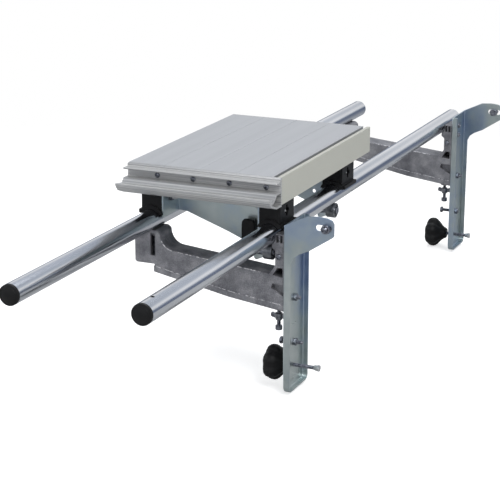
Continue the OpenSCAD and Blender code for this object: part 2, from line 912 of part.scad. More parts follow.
// The ear bolts: nut on the ear's outer face, head on its inner face
module at_ears() {
    bolt_x = web_x + ear_reach - ear_bolt_inset;
    translate([bolt_x, near_y, ear_slot_rise])
        children();
    translate([bolt_x, far_y + bracket_width, ear_slot_rise])
        mirror([0, 1, 0])
            children();
}

module ear_bolts() {
    placed()
        color(steel_share)
            at_ears() {
                translate([0, -ear_bolt_reach, 0])
                    rod_y(ear_bolt_r, ear_bolt_reach + sheet);
                translate([0, sheet, 0])
                    hex_y(ear_nut_flats, ear_head_height);
            }
}

module ear_nuts() {
    placed()
        color(steel_share)
            at_ears()
                translate([0, -ear_nut_height, 0])
                    difference() {
                        hex_y(ear_nut_flats, ear_nut_height);
                        translate([0, -over, 0])
                            rod_y(ear_bolt_r + screw_clearance, ear_nut_height + 2 * over);
                    }
}

// Height bolts and wing nuts

module height_bolts() {
    placed()
        color(steel_share)
            for (y = [cast_near_y, cast_far_y])
                translate([height_bolt_x, y + height_bolt_y, -height_head_drop]) {
                    hex_z(nut_flats, head_height * 1.6);
                    cylinder(r = screw_r, h = height_bolt_length);
                }
}

// The hub seats under the casting's boss and the wings flare downwards
module wing_nut(y) {
    top = -cast_bottom - height_boss - wing_seat_gap;
    hub_height = wing_nut_height * 0.65;
    wing_low = -wing_nut_height;
    color(steel_share)
        translate([height_bolt_x, y + height_bolt_y, top])
            difference() {
                union() {
                    translate([0, 0, -hub_height])
                        cylinder(r = wing_hub_r, h = hub_height);
                    translate([0, -wing_sheet / 2, 0])
                        upright(wing_sheet)
                            polygon([[-wing_hub_r, -hub_height * 0.35],
                                     [-wing_reach * 0.85, wing_low * 0.55],
                                     [-wing_reach, wing_low * 0.8],
                                     [-wing_reach * 0.9, wing_low],
                                     [-wing_reach * 0.65, wing_low],
                                     [-wing_hub_r * 0.8, -hub_height],
                                     [wing_hub_r * 0.8, -hub_height],
                                     [wing_reach * 0.65, wing_low],
                                     [wing_reach * 0.9, wing_low],
                                     [wing_reach, wing_low * 0.8],
                                     [wing_reach * 0.85, wing_low * 0.55],
                                     [wing_hub_r, -hub_height * 0.35]]);
                }
                translate([0, 0, -wing_nut_height - over])
                    cylinder(r = running_r, h = wing_nut_height + 2 * over);
            }
}

module near_wing_nut() {
    placed()
        wing_nut(cast_near_y);
}

module far_wing_nut() {
    placed()
        wing_nut(cast_far_y);
}

// Clamp screws with star knobs and swivelling pads

// Places children with X = 0 at the pad's face
module at_clamp(y, drop, reach) {
    translate([web_x + reach, y + bracket_mid, -drop])
        children();
}

module clamp_pad() {
    color(steel_share)
        translate([-pad_length, 0, 0])
            difference() {
                rod_x(pad_r, pad_length);
                translate([-over, 0, 0])
                    rod_x(running_r, pad_socket + over);
            }
}

module clamp_screw() {
    tip = pad_length - pad_socket + pad_end_gap;
    length = clamp_length - knob_thickness - knob_hub_length + clamp_thread_in_knob - tip;
    color(steel_share)
        translate([-tip - length, 0, 0])
            rod_x(screw_r, length);
}

module star_knob() {
    color(black_share)
        translate([-clamp_length, 0, 0])
            difference() {
                union() {
                    rotate([0, 90, 0])
                        rotate_extrude()
                            polygon([[0, 0], [knob_body_r - knob_bevel, 0], [knob_body_r, knob_bevel],
                                     [knob_body_r, knob_thickness - knob_bevel],
                                     [knob_body_r * 0.7, knob_thickness],
                                     [knob_hub_r, knob_thickness + knob_hub_length],
                                     [0, knob_thickness + knob_hub_length]]);
                    for (i = [0 : knob_lobes - 1])
                        rotate([i * 360 / knob_lobes, 0, 0])
                            translate([lobe_start, 0, knob_r - lobe_r])
                                rod_x(lobe_r, knob_thickness - 2 * lobe_start);
                }
                translate([knob_thickness + knob_hub_length - clamp_thread_in_knob, 0, 0])
                    rod_x(running_r, clamp_thread_in_knob + over);
            }
}

module near_clamp_screw() {
    placed()
        at_clamp(near_y, near_clamp_drop, near_clamp_reach)
            clamp_screw();
}

module near_star_knob() {
    placed()
        at_clamp(near_y, near_clamp_drop, near_clamp_reach)
            star_knob();
}

module near_clamp_pad() {
    placed()
        at_clamp(near_y, near_clamp_drop, near_clamp_reach)
            clamp_pad();
}

module far_clamp_screw() {
    placed()
        at_clamp(far_y, far_clamp_drop, far_clamp_reach)
            clamp_screw();
}

module far_star_knob() {
    placed()
        at_clamp(far_y, far_clamp_drop, far_clamp_reach)
            star_knob();
}

module far_clamp_pad() {
    placed()
        at_clamp(far_y, far_clamp_drop, far_clamp_reach)
            clamp_pad();
}

// Table

// A hollow plank with a screw channel along its right side
module table_plank(i) {
    channel_x = plank_width - channel_inset;
    channel_low = channel_z - table_rise - channel_wall;
    if (i < plank_count)
        placed()
            color(aluminium_share)
                translate([table_x + i * plank_pitch, table_y, table_rise])
                    difference() {
                        cube([plank_width, plank_length, plank_height]);
                        translate([0, -over, 0])
                            upright(plank_length + 2 * over)
                                difference() {
                                    translate([plank_wall, plank_wall])
                                        square([plank_width - 2 * plank_wall, plank_height - 2 * plank_wall]);
                                    translate([channel_x - channel_wall, channel_low])
                                        square([2 * channel_wall, plank_height]);
                                }
                        translate([channel_x, -over, channel_z - table_rise])
                            rod_y(channel_r, plank_length + 2 * over);
                    }
}

module table_plank_1() {
    table_plank(0);
}

module table_plank_2() {
    table_plank(1);
}

module table_plank_3() {
    table_plank(2);
}

module table_plank_4() {
    table_plank(3);
}

// Repeats children at each plank's screw channel
module at_channels() {
    for (i = [0 : plank_count - 1])
        translate([table_x + i * plank_pitch + plank_width - channel_inset, 0, channel_z])
            children();
}

// The front rail's section, drawn in depth and height
module rail_section(shares) {
    polygon([for (s = shares) [table_y - rail_depth * s[0], table_rise + plank_height * s[1]]]);
}

module front_rail() {
    length = rail_right_x - table_x;
    placed()
        color(aluminium_share)
            difference() {
                translate([table_x, 0, 0])
                    rotate([90, 0, 90])
                        linear_extrude(height = length)
                            difference() {
                                rail_section(rail_shares);
                                rail_section(rail_cell_shares);
                            }
                at_channels()
                    translate([0, table_y - rail_depth, 0])
                        rod_y(end_screw_diameter / 2 + screw_clearance, rail_depth + over);
            }
}

module rear_strip() {
    placed()
        color(aluminium_share)
            difference() {
                translate([table_x, table_end_y, table_rise])
                    cube([table_right_x - table_x - plank_joint, strip_thickness, plank_height]);
                at_channels()
                    translate([0, table_end_y - over, 0])
                        rod_y(end_screw_diameter / 2 + screw_clearance, strip_thickness + 2 * over);
            }
}

// A pan-head screw along +Y, its head's seat at Y = 0
module end_screw() {
    difference() {
        union() {
            rod_y(end_screw_diameter / 2, end_screw_length);
            translate([0, -end_screw_dome, 0])
                rod_y(end_screw_head / 2, end_screw_dome);
        }
        for (turn = [0, 90])
            rotate([0, turn, 0])
                translate([-cross_reach / 2, -end_screw_dome - over, -cross_width / 2])
                    cube([cross_reach, over + end_screw_dome / 2, cross_width]);
    }
}

module front_rail_screws() {
    placed()
        color(steel_share)
            at_channels()
                translate([0, table_y - rail_web, 0])
                    end_screw();
}

module rear_strip_screws() {
    placed()
        color(steel_share)
            at_channels()
                translate([0, table_end_y + strip_thickness, 0])
                    mirror([0, 1, 0])
                        end_screw();
}

// The side rail is a plate on a foot against the last plank
module side_rail() {
    low = table_rise + side_rail_lift;
    placed()
        color(side_rail_share)
            translate([table_right_x, table_y, low]) {
                translate([side_rail_gap, 0, 0])
                    cube([side_rail_thickness, plank_length + strip_thickness,
                          plank_height - side_rail_lift]);
                cube([side_rail_gap, plank_length + strip_thickness, side_rail_foot]);
            }
}

// Sliding shoes

// Section across the tube: arch, or body with the outer lip; its inner side is left flat
module shoe_section(body) {
    difference() {
        union() {
            if (body) {
                translate([-shoe_half, shoe_lip_rise])
                    square([shoe_width, table_rise - shoe_lip_rise]);
                translate([0, shoe_lip_rise])
                    square([shoe_half + lip_proud, shoe_lip_height]);
            }
            intersection() {
                circle(r = arch_radius);
                translate([body ? -shoe_half : -arch_radius, shoe_lip_rise])
                    square([2 * arch_radius, arch_radius]);
            }
        }
        circle(r = shoe_bore_r);
    }
}

// A shoe with the bolt's pocket on its right side
module shoe() {
    color(black_share)
        difference() {
            union() {
                upright(arch_proud)
                    shoe_section(false);
                translate([0, arch_proud, 0])
                    upright(shoe_length - arch_proud)
                        shoe_section(true);
            }
            translate([-shoe_half - over, shoe_mid, shoe_bolt_rise])
                rod_x(screw_hole_r, shoe_width + 2 * over);
            translate([shoe_half - shoe_pocket_depth, shoe_mid, shoe_bolt_rise]) {
                rod_x(pocket_r, shoe_pocket_depth + over);
                for (turn = [0, 90])
                    rotate([turn, 0, 0])
                        translate([0, -pocket_arm, -pocket_slot / 2])
                            cube([shoe_pocket_depth + over, 2 * pocket_arm, pocket_slot]);
            }
        }
}

module left_shoe(y) {
    translate([left_x, y, 0])
        mirror([1, 0, 0])
            shoe();
}

module right_shoe(y) {
    translate([right_x, y, 0])
        shoe();
}

module near_left_shoe() {
    placed()
        left_shoe(shoe_near_y);
}

module near_right_shoe() {
    placed()
        right_shoe(shoe_near_y);
}

module far_left_shoe() {
    placed()
        left_shoe(shoe_far_y);
}

module far_right_shoe() {
    placed()
        right_shoe(shoe_far_y);
}

// Repeats children at the four shoes, turned so that +X points outwards
module at_shoe_bolts() {
    for (y = [shoe_near_y, shoe_far_y]) {
        translate([right_x, y + shoe_mid, shoe_bolt_rise])
            children();
        translate([left_x, y + shoe_mid, shoe_bolt_rise])
            mirror([1, 0, 0])
                children();
    }
}

module shoe_bolts() {
    head_seat = shoe_half - shoe_pocket_depth;
    placed()
        color(steel_share)
            at_shoe_bolts() {
                translate([head_seat - shoe_bolt_length, 0, 0])
                    rod_x(screw_r, shoe_bolt_length);
                translate([head_seat, 0, 0])
                    difference() {
                        rod_x(button_r, head_height);
                        translate([head_height / 2, 0, 0])
                            hex_x(2 * socket_r, head_height);
                    }
            }
}

module shoe_nuts() {
    placed()
        color(steel_share)
            at_shoe_bolts()
                translate([-shoe_half - sheet - nut_height, 0, 0])
                    nut_x(nut_flats, nut_height, screw_hole_r);
}

// Cross plates

// The web, with its sloping lower edge
module plate_web_outline() {
    polygon(concat(
        [[plate_left_x, table_rise], [plate_left_x, left_flange_rise]],
        [for (s = plate_edge_shares) [plate_left_x + plate_width * s[0],
                                      left_flange_rise - plate_edge_fall * s[1]]],
        [[plate_right_x, -plate_drop], [plate_right_x, table_rise]]));
}

// The right flange, with the arm that carries the roller
module arm_outline() {
    front = flange_front_y;
    arm_tip = roller_offset - arm_reach;
    rear = plate_web_y + sheet;
    polygon([[front, table_rise], [front, -roller_r * 0.4], [arm_tip, roller_z + roller_r * 0.7],
             [arm_tip, roller_z - roller_r * 0.7], [arm_tip + roller_r * 0.5, roller_z - roller_r * 1.1],
             [rear, -plate_drop], [rear, table_rise]]);
}

module cross_plate(y) {
    color(zinc_share)
        translate([0, y, 0])
            difference() {
                union() {
                    translate([0, plate_web_y, 0])
                        upright(sheet)
                            plate_web_outline();
                    translate([plate_left_x, flange_front_y, left_flange_rise])
                        cube([sheet, plate_web_y + sheet - flange_front_y, table_rise - left_flange_rise]);
                    translate([plate_right_x - sheet, 0, 0])
                        rotate([90, 0, 90])
                            linear_extrude(height = sheet)
                                arm_outline();
                }
                translate([left_x, shoe_mid, shoe_bolt_rise])
                    rod_x(screw_hole_r, right_x - left_x);
                translate([plate_right_x - sheet - over, roller_offset, roller_z])
                    rod_x(axle_tip_r + screw_clearance, sheet + 2 * over);
                translate([lock_x, plate_web_y - over, -lock_drop])
                    rod_y(running_r, sheet + 2 * over);
            }
}

module near_cross_plate() {
    placed()
        cross_plate(shoe_near_y);
}

module far_cross_plate() {
    placed()
        cross_plate(shoe_far_y);
}

// Rollers

// Repeats children on a roller's axis, with X = 0 at its inner face
module on_axle(y) {
    translate([roller_inner_x, y + roller_offset, roller_z])
        children();
}

module roller(y) {
    color(steel_share)
        on_axle(y)
            difference() {
                rod_x(roller_r, roller_width);
                translate([-over, 0, 0])
                    rod_x(hub_ring_r + hub_gap, roller_width + 2 * over);
            }
}

module bearing_hub(y) {
    color(steel_share)
        on_axle(y)
            difference() {
                rod_x(hub_ring_r, roller_width);
                translate([-over, 0, 0])
                    rod_x(axle_r + running_clearance, roller_width + 2 * over);
            }
}

module near_roller() {
    placed()
        roller(shoe_near_y);
}

module far_roller() {
    placed()
        roller(shoe_far_y);
}

module near_bearing_hub() {
    placed()
        bearing_hub(shoe_near_y);
}

module far_bearing_hub() {
    placed()
        bearing_hub(shoe_far_y);
}

// Shouldered bolts: head outside, collar between roller and flange, thread through the flange
module roller_axles() {
    collar = roller_inner_x - plate_right_x;
    tail = sheet + nut_height + screw_r;
    placed()
        color(steel_share)
            for (y = [shoe_near_y, shoe_far_y])
                on_axle(y) {
                    rod_x(axle_r, roller_width);
                    translate([roller_width, 0, 0])
                        rod_x(axle_head_r, axle_head_height);
                    translate([-collar, 0, 0])
                        rod_x(axle_collar_r, collar);
                    translate([-collar - tail, 0, 0])
                        rod_x(axle_tip_r, tail);
                }
}

module axle_nuts() {
    placed()
        color(steel_share)
            for (y = [shoe_near_y, shoe_far_y])
                translate([plate_right_x - sheet - nut_height, y + roller_offset, roller_z])
                    nut_x(nut_flats, nut_height, axle_tip_r + screw_clearance);
}

// Lock knob on the near cross plate

// Places children with Y = 0 at the web's near face
module at_lock() {
    translate([lock_x, shoe_near_y + plate_web_y, -lock_drop])
        children();
}

module lock_knob() {
    grip_far = -lock_gap - lock_hub_length;
    placed()
        color(black_share)
            at_lock()
                difference() {
                    union() {
                        translate([0, grip_far - lock_thickness, 0]) {
                            for (side = [-1, 1])
                                for (end = [-1, 1])
                                    translate([side * (lock_width / 2 - lock_corner), 0,
                                               end * (lock_height / 2 - lock_corner)])
                                        rod_y(lock_corner, lock_thickness);
                            translate([-lock_width / 2, 0, lock_corner - lock_height / 2])
                                cube([lock_width, lock_thickness, lock_height - 2 * lock_corner]);
                            translate([lock_corner - lock_width / 2, 0, -lock_height / 2])
                                cube([lock_width - 2 * lock_corner, lock_thickness, lock_height]);
                        }
                        translate([0, grip_far, 0])
                            rod_y(lock_hub_r, lock_hub_length);
                    }
                    translate([0, grip_far - lock_thickness / 2, 0])
                        rod_y(running_r, lock_thickness + lock_hub_length);
                }
}

module lock_screw() {
    start = -lock_gap - lock_hub_length - lock_thickness / 2;
    placed()
        color(steel_share)
            at_lock()
                translate([0, start + pad_end_gap, 0])
                    rod_y(screw_r, sheet + lock_screw_tail - start);
}

module lock_nut() {
    placed()
        color(steel_share)
            at_lock()
                translate([0, sheet, 0])
                    difference() {
                        hex_y(nut_flats, nut_height);
                        translate([0, -over, 0])
                            rod_y(running_r, nut_height + 2 * over);
                    }
}

left_guide_tube();
right_guide_tube();
left_tube_cap();
right_tube_cap();
near_cross_member();
far_cross_member();
near_bracket();
far_bracket();
tube_studs();
tube_nuts();
post_screws();
bracket_screws();
bracket_studs();
bracket_nuts();
adjusting_screws();
adjusting_nuts();
height_bolts();
near_wing_nut();
far_wing_nut();
ear_bolts();
ear_nuts();
near_clamp_screw();
near_star_knob();
near_clamp_pad();
far_clamp_screw();
far_star_knob();
far_clamp_pad();
table_plank_1();
table_plank_2();
table_plank_3();
table_plank_4();
front_rail();
rear_strip();
side_rail();
front_rail_screws();
rear_strip_screws();
near_left_shoe();
near_right_shoe();
far_left_shoe();
far_right_shoe();
near_cross_plate();
far_cross_plate();
shoe_bolts();
shoe_nuts();
near_roller();
far_roller();
near_bearing_hub();
far_bearing_hub();
roller_axles();
axle_nuts();
lock_knob();
lock_screw();
lock_nut();
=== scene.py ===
"""Sliding side table on two guide tubes: the looks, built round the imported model."""

import json
import math

import bmesh
import bpy
import numpy as np
from mathutils import Matrix, Vector


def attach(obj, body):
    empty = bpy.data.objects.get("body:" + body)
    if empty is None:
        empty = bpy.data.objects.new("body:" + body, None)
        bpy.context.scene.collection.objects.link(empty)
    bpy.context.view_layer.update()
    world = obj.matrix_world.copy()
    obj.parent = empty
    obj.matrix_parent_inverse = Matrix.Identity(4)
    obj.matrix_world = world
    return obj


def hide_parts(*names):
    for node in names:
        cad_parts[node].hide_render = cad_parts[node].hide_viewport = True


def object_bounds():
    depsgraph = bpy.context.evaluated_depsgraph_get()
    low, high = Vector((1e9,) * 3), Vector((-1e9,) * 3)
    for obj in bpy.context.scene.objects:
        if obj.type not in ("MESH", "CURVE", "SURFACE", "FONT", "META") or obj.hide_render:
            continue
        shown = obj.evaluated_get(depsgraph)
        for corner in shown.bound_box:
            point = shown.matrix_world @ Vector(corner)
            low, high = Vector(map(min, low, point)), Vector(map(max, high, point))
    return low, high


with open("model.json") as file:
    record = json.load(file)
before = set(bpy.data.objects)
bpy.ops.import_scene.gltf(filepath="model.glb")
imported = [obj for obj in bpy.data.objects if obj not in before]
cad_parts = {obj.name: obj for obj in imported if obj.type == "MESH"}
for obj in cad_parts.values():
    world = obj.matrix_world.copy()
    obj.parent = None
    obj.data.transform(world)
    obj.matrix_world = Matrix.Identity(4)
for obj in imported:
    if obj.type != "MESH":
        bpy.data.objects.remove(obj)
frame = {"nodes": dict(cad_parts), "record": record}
cad_low, cad_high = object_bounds()


# The photographer's view. A long lens looks down the tubes from the near right,
# a little above the table.
def added(name, data):
    """A new object at the origin, linked into the scene."""
    thing = bpy.data.objects.new(name, data)
    bpy.context.scene.collection.objects.link(thing)
    return thing


heading, dip, roll = 0.41397, 0.28815, 0.00227
camera_data = bpy.data.cameras.new("photo_view")
camera_data.sensor_width = 36
camera_data.lens = 119.53
camera_data.clip_end = 60
camera = added("photo_view", camera_data)
camera.location = (0.86333, -2.15655, 0.67385)
camera.rotation_euler = (
    Matrix.Rotation(heading, 3, "Z")
    @ Matrix.Rotation(math.pi / 2 - dip, 3, "X")
    @ Matrix.Rotation(roll, 3, "Z")
).to_euler()
bpy.context.scene.camera = camera
bpy.context.scene.view_settings.view_transform = "Standard"


# The studio. A white paper floor under the lowest edge of the brackets fades into a
# white room, and soft boxes light the table. Metal sees a thin dim horizon between both.
class Wire:
    """A socket in a finish. Sums, differences and products of wires add Math nodes."""

    def __init__(self, finish, socket):
        self.finish, self.socket = finish, socket

    def maths(self, operation, first, second):
        """The result of one operation on two wires or numbers."""
        return self.finish.node(
            "ShaderNodeMath", {"operation": operation}, {0: first, 1: second}
        )

    def __add__(self, other):
        return self.maths("ADD", self, other)

    def __mul__(self, other):
        return self.maths("MULTIPLY", self, other)

    def __rsub__(self, other):
        return self.maths("SUBTRACT", other, self)

    __radd__ = __add__
    __rmul__ = __mul__


class Finish:
    """A node tree. One method adds a node, its settings first and then its sockets."""

    def __init__(self, owner):
        owner.use_nodes = True
        self.owner, self.tree = owner, owner.node_tree
        self.tree.nodes.clear()

    def node(self, kind, settings, sockets, out=0):
        """Adds a node and gives back one of its outputs as a wire, if it has any."""
        made = self.tree.nodes.new(kind)
        for name, value in settings.items():
            if name == "stops":
                while len(made.color_ramp.elements) < len(value):
                    made.color_ramp.elements.new(0.5)
                for stop, (place, colour) in zip(made.color_ramp.elements, value):
                    stop.position, stop.color = place, (*colour[:3], 1)
            else:
                setattr(made, name, value)
        for name, value in sockets.items():
            if isinstance(value, Wire):
                self.tree.links.new(value.socket, made.inputs[name])
            else:
                made.inputs[name].default_value = value
        return Wire(self, made.outputs[out]) if len(made.outputs) else None


def ramp(finish, share, *stops):
    """Colours at their places along a share of 0 to 1."""
    return finish.node("ShaderNodeValToRGB", {"stops": list(stops)}, {0: share})


def rays(finish, *kinds):
    """1 for a ray of any of these kinds, 0 for the light that falls on the object."""
    found = 0.0
    for kind in kinds:
        found = finish.node("ShaderNodeLightPath", {}, {}, kind) + found
    return found.maths("MINIMUM", found, 1.0)


def glowing(finish, kind, colour, strength):
    """A shader that gives off light: a Background in the room, an Emission on the paper."""
    return finish.node(kind, {}, {"Color": colour, "Strength": strength})


def mixed(finish, share, first, second):
    """The first shader where the share is 0 and the second where it is 1."""
    return finish.node("ShaderNodeMixShader", {}, {0: share, 1: first, 2: second})


room = Finish(bpy.data.worlds.new("white_room"))
bpy.context.scene.world = room.owner
way = room.node("ShaderNodeTexCoord", {}, {}, "Generated")
rise = room.node("ShaderNodeSeparateXYZ", {}, {"Vector": way}, "Z")
# What metal sees, from straight down at 0 over the horizon at 0.5 to straight up at 1
horizon = ramp(
    room, rise * 0.5 + 0.5,
    (0.0, (0.3, 0.33, 0.38)), (0.42, (0.24, 0.27, 0.33)), (0.492, (0.16, 0.19, 0.27)),
    (0.505, (0.12, 0.15, 0.22)), (0.53, (0.26, 0.3, 0.38)), (0.56, (0.5, 0.54, 0.6)),
    (0.595, (1, 1, 1)), (0.66, (1, 1, 1)), (0.71, (0.6, 0.64, 0.7)),
    (0.84, (0.36, 0.4, 0.47)),
)
lit = glowing(room, "ShaderNodeBackground", (0.94, 0.97, 1, 1), 0.42)
white = glowing(room, "ShaderNodeBackground", (1, 1, 1, 1), 1.0)
mirrored = glowing(room, "ShaderNodeBackground", horizon, 1.0)
inside = mixed(room, rays(room, "Is Glossy Ray", "Is Transmission Ray"), lit, mirrored)
whole = mixed(room, rays(room, "Is Camera Ray"), inside, white)
room.node("ShaderNodeOutputWorld", {}, {"Surface": whole})

# The sheet lies half a millimetre under the brackets and fades out between two distances
floor_z, floor_reach, solid_to, gone_at = cad_low.z - 0.0005, 4, 0.9, 2.1
floor_corners = [
    (x * floor_reach, y * floor_reach, floor_z)
    for x, y in ((-1, -1), (1, -1), (1, 1), (-1, 1))
]
floor_mesh = bpy.data.meshes.new("floor")
floor_mesh.from_pydata(floor_corners, [], [(0, 1, 2, 3)])
added("floor", floor_mesh)
paper = Finish(bpy.data.materials.new("white_paper"))
place = paper.node("ShaderNodeTexCoord", {}, {}, "Object")
away = paper.node("ShaderNodeVectorMath", {"operation": "LENGTH"}, {0: place}, "Value")
fade = paper.node(
    "ShaderNodeMapRange",
    {"interpolation_type": "SMOOTHSTEP"},
    {0: away, 1: solid_to, 2: gone_at},
)
matt = paper.node("ShaderNodeBsdfDiffuse", {}, {"Color": (0.84, 0.84, 0.84, 1)})
seen = 0.56 * rays(paper, "Is Camera Ray", "Is Transmission Ray")
glow = glowing(paper, "ShaderNodeEmission", (1, 1, 1, 1), seen)
sheet_light = paper.node("ShaderNodeAddShader", {}, {0: matt, 1: glow})
dim = glowing(paper, "ShaderNodeEmission", (0.85, 0.92, 1, 1), 0.15)
metal_sees = mixed(paper, 0.42 * rays(paper, "Is Glossy Ray"), sheet_light, dim)
clear = paper.node("ShaderNodeBsdfTransparent", {}, {"Color": (1, 1, 1, 1)})
paper.node("ShaderNodeOutputMaterial", {}, {0: mixed(paper, fade, metal_sees, clear)})
floor_mesh.materials.append(paper.owner)

for name, place, aim, size, watts in (
    ("key_box", (1.8, -1.7, 2.4), (-0.1, 0.3, 0.0), (1.6, 1.6), 58),
    ("fill_box", (-2.4, -1.0, 1.5), (-0.1, 0.3, 0.0), (1.4, 2.2), 22),
    ("top_box", (-0.2, 1.8, 2.6), (-0.1, 0.4, 0.0), (2.0, 1.2), 34),
    ("front_box", (-0.3, -2.8, 0.5), (-0.1, 0.3, 0.0), (2.4, 1.2), 6),
):
    lamp = bpy.data.lights.new(name, "AREA")
    lamp.shape, lamp.size, lamp.size_y, lamp.energy = "RECTANGLE", *size, watts
    box = added(name, lamp)
    box.location = place
    box.rotation_euler = (Vector(aim) - Vector(place)).to_track_quat("-Z", "Y").to_euler()


# The two guide tubes: drawn steel, bright plated, with faint draw lines along them
# and a haze where the shoes and cloths have rubbed the plating.
def tone(red, green, blue):
    """Linear colour of a display colour in 0 to 255: ((c + 0.055) / 1.055) to the 2.4."""
    shares = np.array((red, green, blue)) / 255
    linear = np.where(shares <= 0.04045, shares / 12.92, ((shares + 0.055) / 1.055) ** 2.4)
    return (*map(float, linear), 1.0)


def noise(finish, scale, detail=3.0, stretch=(1, 1, 1), rough=0.5):
    """Fractal noise in metres on the piece, drawn out along an axis by a small stretch."""
    place = finish.node("ShaderNodeTexCoord", {}, {}, "Object")
    place = finish.node("ShaderNodeMapping", {}, {"Vector": place, "Scale": stretch})
    return finish.node("ShaderNodeTexNoise", {}, {
        "Vector": place, "Scale": scale, "Detail": detail, "Roughness": rough,
    })


def bump(finish, height, depth):
    """A surface that rises by a height of 0 to 1 times a depth in metres."""
    return finish.node("ShaderNodeBump", {}, {"Height": height, "Distance": depth})


def surface(finish, **sockets):
    """Closes a finish with one Principled shader; underscores in names stand for spaces."""
    shader = finish.node("ShaderNodeBsdfPrincipled", {}, {
        name.replace("_", " "): value for name, value in sockets.items()
    })
    finish.node("ShaderNodeOutputMaterial", {}, {"Surface": shader})
    return finish.owner


plating = Finish(bpy.data.materials.new("bright_tube_plating"))
haze = noise(plating, 7, detail=4, stretch=(1, 0.3, 1))
draw = noise(plating, 900, detail=2, stretch=(1, 0.012, 1))
bright_tube = surface(
    plating,
    Base_Color=ramp(plating, haze, (0.3, tone(190, 193, 199)), (0.7, tone(220, 222, 227))),
    Metallic=1.0,
    Roughness=0.09 + 0.12 * haze + 0.05 * draw,
    Normal=bump(plating, draw, 0.00002),
)
for node in ("left_guide_tube", "right_guide_tube"):
    tube = frame["nodes"][node].data
    tube.materials.clear()
    tube.materials.append(bright_tube)


# The caps in the tubes' near ends: black plastic, turned by the mould in one piece
# with a plug inside the tube, a straight rim and a shallow dome with a ring in it.
record = frame["record"]
bodies = record["behaviour"]["bodies"]
body_of = {node: body for body, nodes in bodies.items() for node in nodes}
# Sizes of new pieces are in mm: X from the left tube's axis, Y from the tubes' near ends
# and Z from the tubes' axes. The frame's origin lies at the datum.
datum = np.array((255.0, 391.0, 0.0))
tube_gap = 195
around = np.linspace(0, 2 * math.pi, 72, endpoint=False)


def turned(rows, angles=around):
    """Points (r cos a, r sin a, h) for rows of (h, r), where r may differ for each a."""
    heights = np.array([row[0] for row in rows], float)[:, None]
    radii = np.array([np.broadcast_to(row[1], angles.shape) for row in rows], float)
    across, back = radii * np.cos(angles), radii * np.sin(angles)
    return np.stack([across, back, heights + 0 * radii], -1)


def lay(points, axis, place):
    """Turns a local (u, v, h) so that h follows an axis such as '+x', and moves it."""
    u, v, h = (points[..., i] for i in range(3))
    sign = 1 if axis[0] == "+" else -1
    laid = {"x": (sign * h, u, v), "y": (u, sign * h, v), "z": (u, v, sign * h)}[axis[1]]
    return np.stack(laid, -1) + np.array(place, float)


def closed(name, points, faces):
    """A mesh over points in mm, its doubles merged and its faces turned outwards."""
    mesh = bpy.data.meshes.new(name)
    mesh.from_pydata(((points - datum) / 1000).tolist(), [], faces)
    shape = bmesh.new()
    shape.from_mesh(mesh)
    bmesh.ops.remove_doubles(shape, verts=shape.verts, dist=2e-7)
    bmesh.ops.recalc_face_normals(shape, faces=shape.faces)
    shape.to_mesh(mesh)
    shape.free()
    return mesh


def finished(piece_name, mesh, node, finish):
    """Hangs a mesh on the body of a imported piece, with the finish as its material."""
    mesh.materials.append(finish)
    piece = added(piece_name, mesh)
    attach(piece, body_of[node])
    return piece


def make(node, shells, finish, sharp=32, extra=""):
    """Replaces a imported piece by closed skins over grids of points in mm.

    Each grid's columns close on themselves. Its rows close into a ring where the last row
    equals the first, and otherwise end in a point or a flat fan. Edges that turn by more
    than the sharp angle, in degrees, stay sharp. A name in extra adds the skins beside the
    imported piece, which stays.
    """
    faces, start = [], 0
    for grid in shells:
        rows, columns = grid.shape[:2]
        index = np.arange(rows * columns).reshape(rows, columns) + start
        low, high = index[:-1], index[1:]
        quads = np.stack([low, np.roll(low, -1, 1), np.roll(high, -1, 1), high], -1)
        faces += quads.reshape(-1, 4).tolist()
        if not np.allclose(grid[0], grid[-1]):
            faces += [index[end].tolist() for end in (0, -1)
                      if np.ptp(grid[end], axis=0).max() > 1e-6]
        start += rows * columns
    name = node + extra + "_made"
    mesh = closed(name, np.concatenate([grid.reshape(-1, 3) for grid in shells]), faces)
    mesh.polygons.foreach_set("use_smooth", np.ones(len(mesh.polygons), bool))
    mesh.set_sharp_from_angle(angle=math.radians(sharp))
    piece = finished(name, mesh, node, finish)
    if not extra:
        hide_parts(node)


def domed(*radii):
    """Rows over the cap's face: h = 4 + 4 (1 - (r / 15)^2)."""
    return [(4.0 + 4.0 * (1 - (radius / 15) ** 2), radius) for radius in radii]


moulded = Finish(bpy.data.materials.new("black_moulding"))
grain = noise(moulded, 2200, detail=2)
scuff = noise(moulded, 45, detail=5)
black_plastic = surface(
    moulded,
    Base_Color=ramp(moulded, scuff, (0.35, tone(13, 13, 14)), (0.72, tone(24, 24, 25))),
    Roughness=0.38 + 0.12 * grain + 0.1 * scuff,
    Specular_IOR_Level=0.22,
    Normal=bump(moulded, grain, 0.00005),
)
groove = 0.35
cap_plug = [(-14, 0), (-14, 12.4), (-13.4, 12.9), (0, 12.9)]
cap_rim = [(0, 14.7), (0.25, 14.95), (3.4, 14.95), (4.1, 14.8)]
cap_ring = [(height - groove, radius) for height, radius in domed(12.1, 11.6)]
cap_face = [*domed(14.3, 13.4, 12.4), *cap_ring, *domed(11.3, 8, 4, 0)]
for node, x in (("left_tube_cap", 0), ("right_tube_cap", tube_gap)):
    make(node, [lay(turned([*cap_plug, *cap_rim, *cap_face]), "-y", (x, 0, 0))],
         black_plastic)


